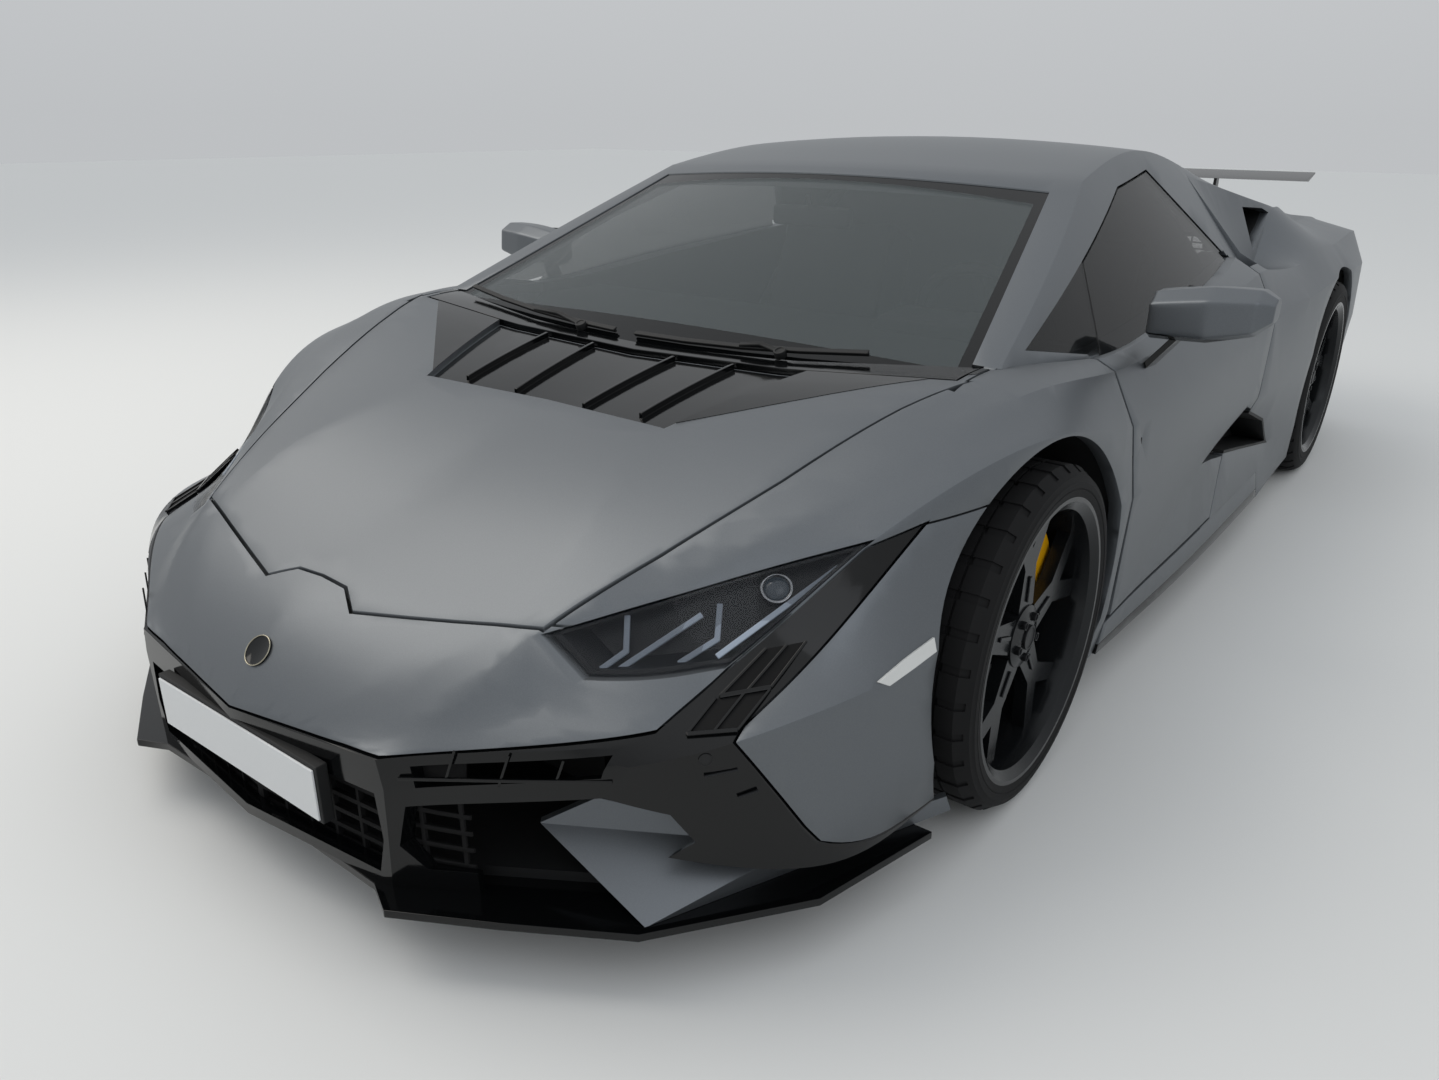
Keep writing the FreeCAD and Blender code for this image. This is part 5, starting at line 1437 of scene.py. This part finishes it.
@dataclass
class Cowl:
    """Wipers at the foot of the windshield and the black corners of the hood beside the vent panel."""

    # Places of each wiper's pivot and of its blade's two ends, across the car.
    wipers: tuple[tuple[float, float, float], ...] = ((-0.20, -0.66, -0.10), (0.34, -0.04, 0.52))
    blade_lift: float = 9 * MM
    blade_up: float = 0.018
    blade_width: float = 13 * MM
    rubber_width: float = 5 * MM
    arm_width: float = 12 * MM
    # How far up the glass the arm's root and elbow lie, and the elbow's and the tip's lift off it.
    root_up: float = 0.006
    elbow_up: float = 0.02
    elbow_lift_mm: float = 8
    tip_lift_mm: float = 4
    knuckle: Boss = Boss(13 * MM, 16 * MM, 4 * MM, 2 * MM, 24)
    knuckle_lift_mm: float = 9
    # Heights of the rubber, of the spoiler and of the arm.
    bar_heights_mm: tuple[float, float, float] = (6, 4, 6)
    facing: Point = (0, -0.41, 0.91)
    # The glass's lower edge in plan: its place at the middle and how it curves.
    edge_middle: float = -1.249
    edge_curve: float = 0.19
    # The hood corners' front line, the vent panel's edge in plan, and where that edge is cut.
    corner_line: tuple[Point, Point] = ((0.318, -1.5745, 0), (0.722, -1.222, 0))
    vent_edge: tuple[tuple[float, float], ...] = ((0.330, -1.5745), (0.432, -1.2775))
    vent_corner: Point = (0.334, -1.5745, 0)
    level_enough: float = 0.6
    corner_foot: float = 0.69
    skin_thickness: float = 0.9 * MM

    def build(self) -> None:
        """Make the wipers and the black corners."""
        pieces = []
        for pivot, start, end in self.wipers:
            pieces += self.wiper(pivot, start, end)
        dress(joined("wipers", pieces), "chassis", Finishes.TEXTURED_BLACK)
        self.add_corners()

    def is_hidden(self, face: Face) -> bool:
        """Tell whether a face of the hood is on its underside or lies below the black corners."""
        return face.normal.z < self.level_enough or face.center.z < self.corner_foot

    def on_glass(self, x: float, up: float) -> Vector:
        """Find a place on the windshield above its lower edge.

        Args:
            x: The place across the car.
            up: The distance back from the edge, in plan.

        Returns:
            The place, lifted by the blade's height.
        """
        edge = self.edge_middle + self.edge_curve * x * x + up
        place, facing = landed("windshield", (x, edge, 3.0), (0, 0, -1))
        return place + facing * self.blade_lift

    def wiper(self, pivot: float, start: float, end: float) -> list[Piece]:
        """Make one wiper: its blade, its spoiler, its cranked arm and the arm's pivot.

        Args:
            pivot: The pivot's place across the car.
            start: The blade's end nearer the car's right.
            end: The blade's end nearer the car's left.

        Returns:
            Its pieces.
        """
        middle = (start + end) / 2
        stations = (start, (start + middle) / 2, middle, (middle + end) / 2, end)
        blade = [self.on_glass(x, self.blade_up) for x in stations]
        facing = Vector(self.facing)
        rubber_push, spoiler_push, arm_push = (facing * height * MM for height in self.bar_heights_mm)
        sunk = self.flattened(blade, -self.bar_heights_mm[0] * MM)
        rubber = strip("wiper_rubber", sunk, self.rubber_width, rubber_push)
        spoiler = strip("wiper_spoiler", self.flattened(blade, 0.0), self.blade_width, spoiler_push)
        soften(spoiler, 1.8, 3)
        root = self.on_glass(pivot, self.root_up) + Vector((0, 0, 2 * MM))
        elbow = self.on_glass((pivot + middle) / 2, self.elbow_up) + facing * self.elbow_lift_mm * MM
        tip = self.on_glass(middle, self.blade_up) + facing * self.tip_lift_mm * MM
        arm = strip("wiper_arm", (root, elbow, tip), self.arm_width, arm_push)
        soften(arm, 2, 3)
        knuckle = cup("wiper_pivot", root + facing * self.knuckle_lift_mm * MM, facing, self.knuckle)
        return [rubber, spoiler, arm, knuckle]

    def flattened(self, path: Sequence[Vector], lift: float) -> list[Vector]:
        """Bring a blade's points into one plane square to the glass.

        Args:
            path: The points.
            lift: How far the plane is moved outwards.

        Returns:
            The moved points.
        """
        facing = Vector(self.facing).normalized()
        level = max(p.dot(facing) for p in path) + lift
        return [p + facing * (level - p.dot(facing)) for p in path]

    def add_corners(self) -> None:
        """Lay a thin gloss-black skin on the hood between the vent panel and the windshield's corners."""
        inner, outer = (Vector(point) for point in self.corner_line)
        line = outer - inner
        away = Vector((line.y, -line.x, 0)).normalized()
        (front_x, front_y), (back_x, back_y) = self.vent_edge
        inward = Vector((front_y - back_y, back_x - front_x, 0)).normalized()
        skins = []
        for mark, side in SIDES:
            flip = Vector((side, 1, 1))
            skin = copy_of("hood_panel", "hood_corner_" + mark)
            cut_off(skin, inner * flip, away * flip, False)
            cut_off(skin, Vector(self.vent_corner) * flip, inward * flip, False)
            thin_skin(skin, self.is_hidden, self.skin_thickness)
            skins.append(skin)
        dress(joined("hood_black_corners", skins), "hood", Finishes.GLOSS_BLACK)


@dataclass
class Seats:
    """Two bucket seats: a crowned cushion and a bolstered back each."""

    fill: float = 0.75
    inner: float = 0.165
    cuts: int = 11
    # Length, thickness and lean in degrees of the cushion and of the back.
    cushion: tuple[float, float, float] = (0.5, 0.16, -6)
    back: tuple[float, float, float] = (0.66, 0.14, 68)
    back_share: float = 0.96
    # Middle of the cushion from the seat's front and foot, and of the back from its rear and foot.
    cushion_at: tuple[float, float] = (0.26, 0.09)
    back_at: tuple[float, float] = (-0.17, 0.42)
    # The pads' shaping, as shares of their sizes: where the bolsters start and how far they rise, the
    # channels' count, depth and reach, the crown's rise and the taper towards the far end.
    bolster_start: float = 0.55
    bolster_rise: float = 0.42
    channel_count: int = 6
    channel_depth: float = 0.09
    channel_reach: float = 0.28
    crown_rise: float = 0.12
    taper: float = 0.10
    bolster_power: float = 1.2

    def build(self) -> None:
        """Make both seats over the one solid that holds them."""
        low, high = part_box("seats")
        width = high.x - self.inner
        made = []
        for mark, side in SIDES:
            middle = side * (self.inner + width / 2)
            length, thickness, lean = self.cushion
            place = (middle, low.y + self.cushion_at[0], low.z + self.cushion_at[1])
            cushion = self.pad("seat_cushion_" + mark, place, (width, length, thickness), lean)
            length, thickness, lean = self.back
            place = (middle, high.y + self.back_at[0], low.z + self.back_at[1])
            sizes = (width * self.back_share, length, thickness)
            back = self.pad("seat_back_" + mark, place, sizes, lean)
            made += [cushion, back]
        for piece in made:
            dress(piece, "chassis", Finishes.LEATHER)
        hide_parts("seats")

    def pad(self, name: str, place: Point, sizes: Point, lean: float) -> Piece:
        """Model one pad with raised bolsters and sewn channels.

        Args:
            name: The piece's name.
            place: Its middle.
            sizes: Its width, length and thickness.
            lean: Its turn about X, in degrees.

        Returns:
            The pad.
        """
        piece = primitive("cube", name, size=1.0)
        edit_all(piece)
        bpy.ops.mesh.subdivide(number_cuts=self.cuts)
        bpy.ops.object.mode_set(mode="OBJECT")
        for vertex in piece.data.vertices:
            x, y, z = vertex.co
            bolster = self.bolster_rise * max(0.0, abs(x) * 2 - self.bolster_start) ** self.bolster_power
            in_channel = abs((y * self.channel_count) % 1 - 0.5) > 0.4 and abs(x) < self.channel_reach
            channel = -self.channel_depth if z > 0.4 and in_channel else 0.0
            crown = self.crown_rise * (1 - 4 * x * x) * (1 - 4 * y * y) if z > 0 else 0.0
            vertex.co.z = z + (bolster + crown + channel if z > 0 else 0.0)
            vertex.co.x = x * (1 - self.taper * (y + 0.5))
        piece.scale = sizes
        piece.rotation_euler = (math.radians(lean), 0, 0)
        piece.location = place
        settle(piece)
        add_modifier(piece, "SUBSURF", levels=1, render_levels=1)
        smooth(piece, BALL)
        return piece


@dataclass
class Cabin:
    """The cockpit's fittings: instrument hood, screen, console, vents and rear-view mirror."""

    driver_x: float = 0.40
    tunnel_top: float = 0.40
    # Corners of the instrument hood's back and of its screen, from the driver's middle line.
    hood_face: tuple[Point, ...] = (
        (-0.15, -0.60, 0.735), (0.15, -0.60, 0.735), (0.12, -0.60, 0.792), (-0.12, -0.60, 0.792),
    )
    screen_face: tuple[Point, ...] = (
        (-0.125, -0.598, 0.740), (0.125, -0.598, 0.740), (0.105, -0.600, 0.784), (-0.105, -0.600, 0.784),
    )
    # The console's outline along the car and up from the tunnel, and half its width.
    console: tuple[tuple[float, float], ...] = (
        (-0.70, 0.0), (-0.56, 0.20), (-0.40, 0.13), (-0.05, 0.055), (0.22, 0.05), (0.25, 0.0),
    )
    console_half: float = 0.085
    # First switch, the steps between rows and columns, and how many there are of each.
    switch_start: Point = (-0.054, -0.37, 0.124)
    switch_step: Point = (0.036, 0.045, 0.0095)
    switch_grid: tuple[int, int] = (2, 4)
    switch_run: Point = (0, 0.03, -0.0064)
    switch_push: Point = (0, 0.0012, 0.0055)
    switch_width: float = 0.028
    # Ends of the console's screen along the car and up from the tunnel, its width, and the way that it faces.
    screen_ends: tuple[tuple[float, float], ...] = ((-0.545, 0.196), (-0.415, 0.139))
    screen_width: float = 0.13
    screen_facing: Point = (0, 0.4, 0.92)
    vents: tuple[float, ...] = (-0.60, -0.07, 0.07, 0.63)
    vent_height: float = 0.70
    vent: Boss = Boss(32 * MM, 8 * MM, 5 * MM, 3 * MM, 6)
    hood_push: Point = (0, -0.13, -0.012)
    hood_edge_mm: float = 12
    console_edge_mm: float = 8
    # The rear-view mirror's stalk, shell and glass: places from where it hangs, and sizes.
    stalk_foot: Point = (0, 0.02, -0.045)
    stalk_radius: float = 7 * MM
    shell_low: Point = (-0.115, 0.012, -0.078)
    shell_size: Point = (0.23, 0.026, 0.05)
    shell_edge_mm: float = 9
    mirror_low: Point = (0.008, 0.0255, 0.007)
    mirror_size: Point = (0.214, 2 * MM, 0.036)

    def build(self) -> None:
        """Make the fittings."""
        self.add_instruments()
        self.add_console()
        self.add_vents()
        self.add_rear_view()

    def add_instruments(self) -> None:
        """Make the hooded instrument screen in front of the driver."""
        faces = (self.hood_face, self.screen_face)
        hood, face = ([(self.driver_x + x, y, z) for x, y, z in corners] for corners in faces)
        cover = plate("instrument_hood", hood, self.hood_push)
        soften(cover, self.hood_edge_mm, 4)
        smooth(cover, ROUNDED)
        dress(cover, "chassis", Finishes.DASH)
        screen = plate("instrument_screen", face, (0, 3 * MM, 0))
        soften(screen, 1.0)
        dress(screen, "chassis", Finishes.SCREEN)

    def add_console(self) -> None:
        """Make the sloping console on the tunnel, with its screen and switches."""
        low = self.tunnel_top
        outline = [(-self.console_half, y, low + up) for y, up in self.console]
        console = plate("centre_console", outline, (2 * self.console_half, 0, 0))
        soften(console, self.console_edge_mm, 3)
        smooth(console, 35)
        dress(console, "chassis", Finishes.LEATHER)
        ends = [Vector((0, y, low + up)) for y, up in self.screen_ends]
        facing = Vector(self.screen_facing).normalized()
        screen = strip("console_screen", ends, self.screen_width, facing * 3 * MM)
        soften(screen, 1.2)
        dress(screen, "chassis", Finishes.SCREEN)
        switches = []
        (x, y, up), (across, along, drop) = self.switch_start, self.switch_step
        rows, columns = self.switch_grid
        for row in range(rows):
            for column in range(columns):
                start = Vector((x + column * across, y + row * along, low + up - row * drop))
                path = (start, start + Vector(self.switch_run))
                switches.append(strip("console_switch", path, self.switch_width, self.switch_push))
        for switch in switches:
            soften(switch, 1.5, 3)
        dress(joined("console_switches", switches), "chassis", Finishes.TEXTURED_BLACK)

    def add_vents(self) -> None:
        """Make the dash's air vents: two at its ends and a pair in its middle."""
        vents = []
        for x in self.vents:
            place, facing = landed("dashboard", (x, 1.0, self.vent_height), (0, -1, 0))
            vents.append(cup("vent", place + facing * 4 * MM, facing, self.vent))
        dress(joined("dash_vents", vents), "chassis", Finishes.GLOSS_BLACK)

    def add_rear_view(self) -> None:
        """Hang the rear-view mirror from the windshield."""
        place, facing = landed("windshield", (0, -0.62, 0.5), (0, 0, 1))
        foot = place + Vector(self.stalk_foot)
        stalk = rod_piece("rear_view_stalk", place + facing * 1 * MM, foot, self.stalk_radius)
        low = place + Vector(self.shell_low)
        shell = box_piece("rear_view_shell", low, low + Vector(self.shell_size), self.shell_edge_mm)
        dress(joined("rear_view_mirror", [shell, stalk]), "chassis", Finishes.TEXTURED_BLACK)
        glass_low = low + Vector(self.mirror_low)
        glass = box_piece("rear_view_glass", glass_low, glass_low + Vector(self.mirror_size), 1)
        dress(glass, "chassis", Finishes.SILVERED_GLASS)


@dataclass
class Tail:
    """Rear lamps with their forked guides."""

    # Middle line of the left lamp's forked guide, across the car and up.
    forks: tuple[tuple[tuple[float, float], ...], ...] = (
        ((0.452, 0.631), (0.612, 0.629), (0.692, 0.703)),
        ((0.612, 0.617), (0.682, 0.546)),
    )
    fork_width: float = 5 * MM
    fork_push: Point = (0, 1.6 * MM, 0)
    fork_edge_mm: float = 0.7
    edge_mm: float = 1.2

    def build(self) -> None:
        """Dress the rear lamps."""
        lamps = copy_of("tail_lamps", "tail_lamp_lenses")
        soften(lamps, self.edge_mm)
        smooth(lamps)
        dress(lamps, "chassis", Finishes.RED_LENS, ("tail_lamps",))
        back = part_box("tail_lamps")[1].y
        guides = []
        for path in self.forks:
            points = [(x, back, z) for x, z in path]
            guide = strip("tail_guide", points, self.fork_width, self.fork_push)
            soften(guide, self.fork_edge_mm)
            guides.append(guide)
        # The forked guides glow faintly though the lamps are off: painted light.
        dress(pair("tail_lamp_guides", guides), "chassis", Finishes.RED_GUIDE)


@dataclass
class Studio:
    """The pale floor, the soft lamps and the camera at the photograph's place."""

    floor_size: float = 60.0
    floor_roughness: float = 0.9
    floor_colour: str = "#dddedd"
    world_colour: str = "#eef1f4"
    horizon_strength: float = 0.60
    zenith_strength: float = 0.95
    eye: Point = (1.528, -2.9808, 1.2148)
    azimuth: float = 37.30355
    elevation: float = 21.73497
    roll: float = 0.40989
    lens: float = 26.56
    sensor_width: float = 36.0
    lamp_target: Point = (0, 0, 0.4)
    # Place, size, power and colour of each soft lamp.
    lamps: tuple[tuple[Point, float, float, str], ...] = (
        ((-4.0, -2.5, 6.0), 5.0, 185.0, "#fff8ee"),
        ((5.0, -4.0, 5.0), 4.0, 35.0, "#f4f8ff"),
    )

    def build(self) -> None:
        """Set up everything that isn't the car."""
        floor = primitive("plane", "studio_floor", size=self.floor_size)
        finish = Finish("matt_studio_floor", self.floor_colour, self.floor_roughness, variation=0.0)
        floor.data.materials.append(finish.build())
        bpy.context.scene.view_settings.view_transform = "Standard"
        self.add_world()
        for number, (place, size, power, colour) in enumerate(self.lamps):
            deselect()
            bpy.ops.object.light_add(type="AREA", location=place)
            lamp = bpy.context.object
            lamp.name = "studio_lamp_%d" % number
            lamp.data.size = size
            lamp.data.energy = power
            lamp.data.color = linear(colour)[:3]
            away = Vector(self.lamp_target) - Vector(place)
            lamp.rotation_euler = away.to_track_quat("-Z", "Y").to_euler()
        self.add_camera()

    def add_world(self) -> None:
        """Light the studio from all round, a little more from above."""
        world = bpy.data.worlds.new("studio_world")
        world.use_nodes = True
        tree = world.node_tree
        background = tree.nodes["Background"]
        background.inputs["Color"].default_value = linear(self.world_colour)
        place = add_node(tree, "TexCoord")
        split = add_node(tree, "SeparateXYZ", {"Vector": place.outputs["Generated"]})
        strength = add_node(
            tree, "MapRange",
            {"Value": split.outputs["Z"], "To Min": self.horizon_strength, "To Max": self.zenith_strength},
        )
        tree.links.new(strength.outputs["Result"], background.inputs["Strength"])
        bpy.context.scene.world = world

    def add_camera(self) -> None:
        """Put the camera where the photograph was taken."""
        az, el, roll = (math.radians(a) for a in (self.azimuth, self.elevation, self.roll))
        back = Vector((math.sin(az) * math.cos(el), -math.cos(az) * math.cos(el), math.sin(el)))
        level_right = Vector((math.cos(az), math.sin(az), 0))
        level_up = back.cross(level_right)
        right = math.cos(roll) * level_right + math.sin(roll) * level_up
        up = math.cos(roll) * level_up - math.sin(roll) * level_right
        deselect()
        bpy.ops.object.camera_add(location=self.eye)
        camera = bpy.context.object
        camera.rotation_euler = Matrix((right, up, back)).transposed().to_euler()
        camera.data.lens = self.lens
        camera.data.sensor_width = self.sensor_width
        bpy.context.scene.camera = camera


def main() -> None:
    """Build every sub-assembly in order."""
    kinds = (
        PlainSolids, Panels, SplitPanels, DoorTrim, Glazing, Tyres, Wheels, Headlamps, NoseTrim, IntakeMesh,
        Cowl, Seats, Cabin, Tail, Studio,
    )
    for kind in kinds:
        kind().build()
        LOG.info("%s done", kind.__name__)


if __name__ == "__main__":
    main()
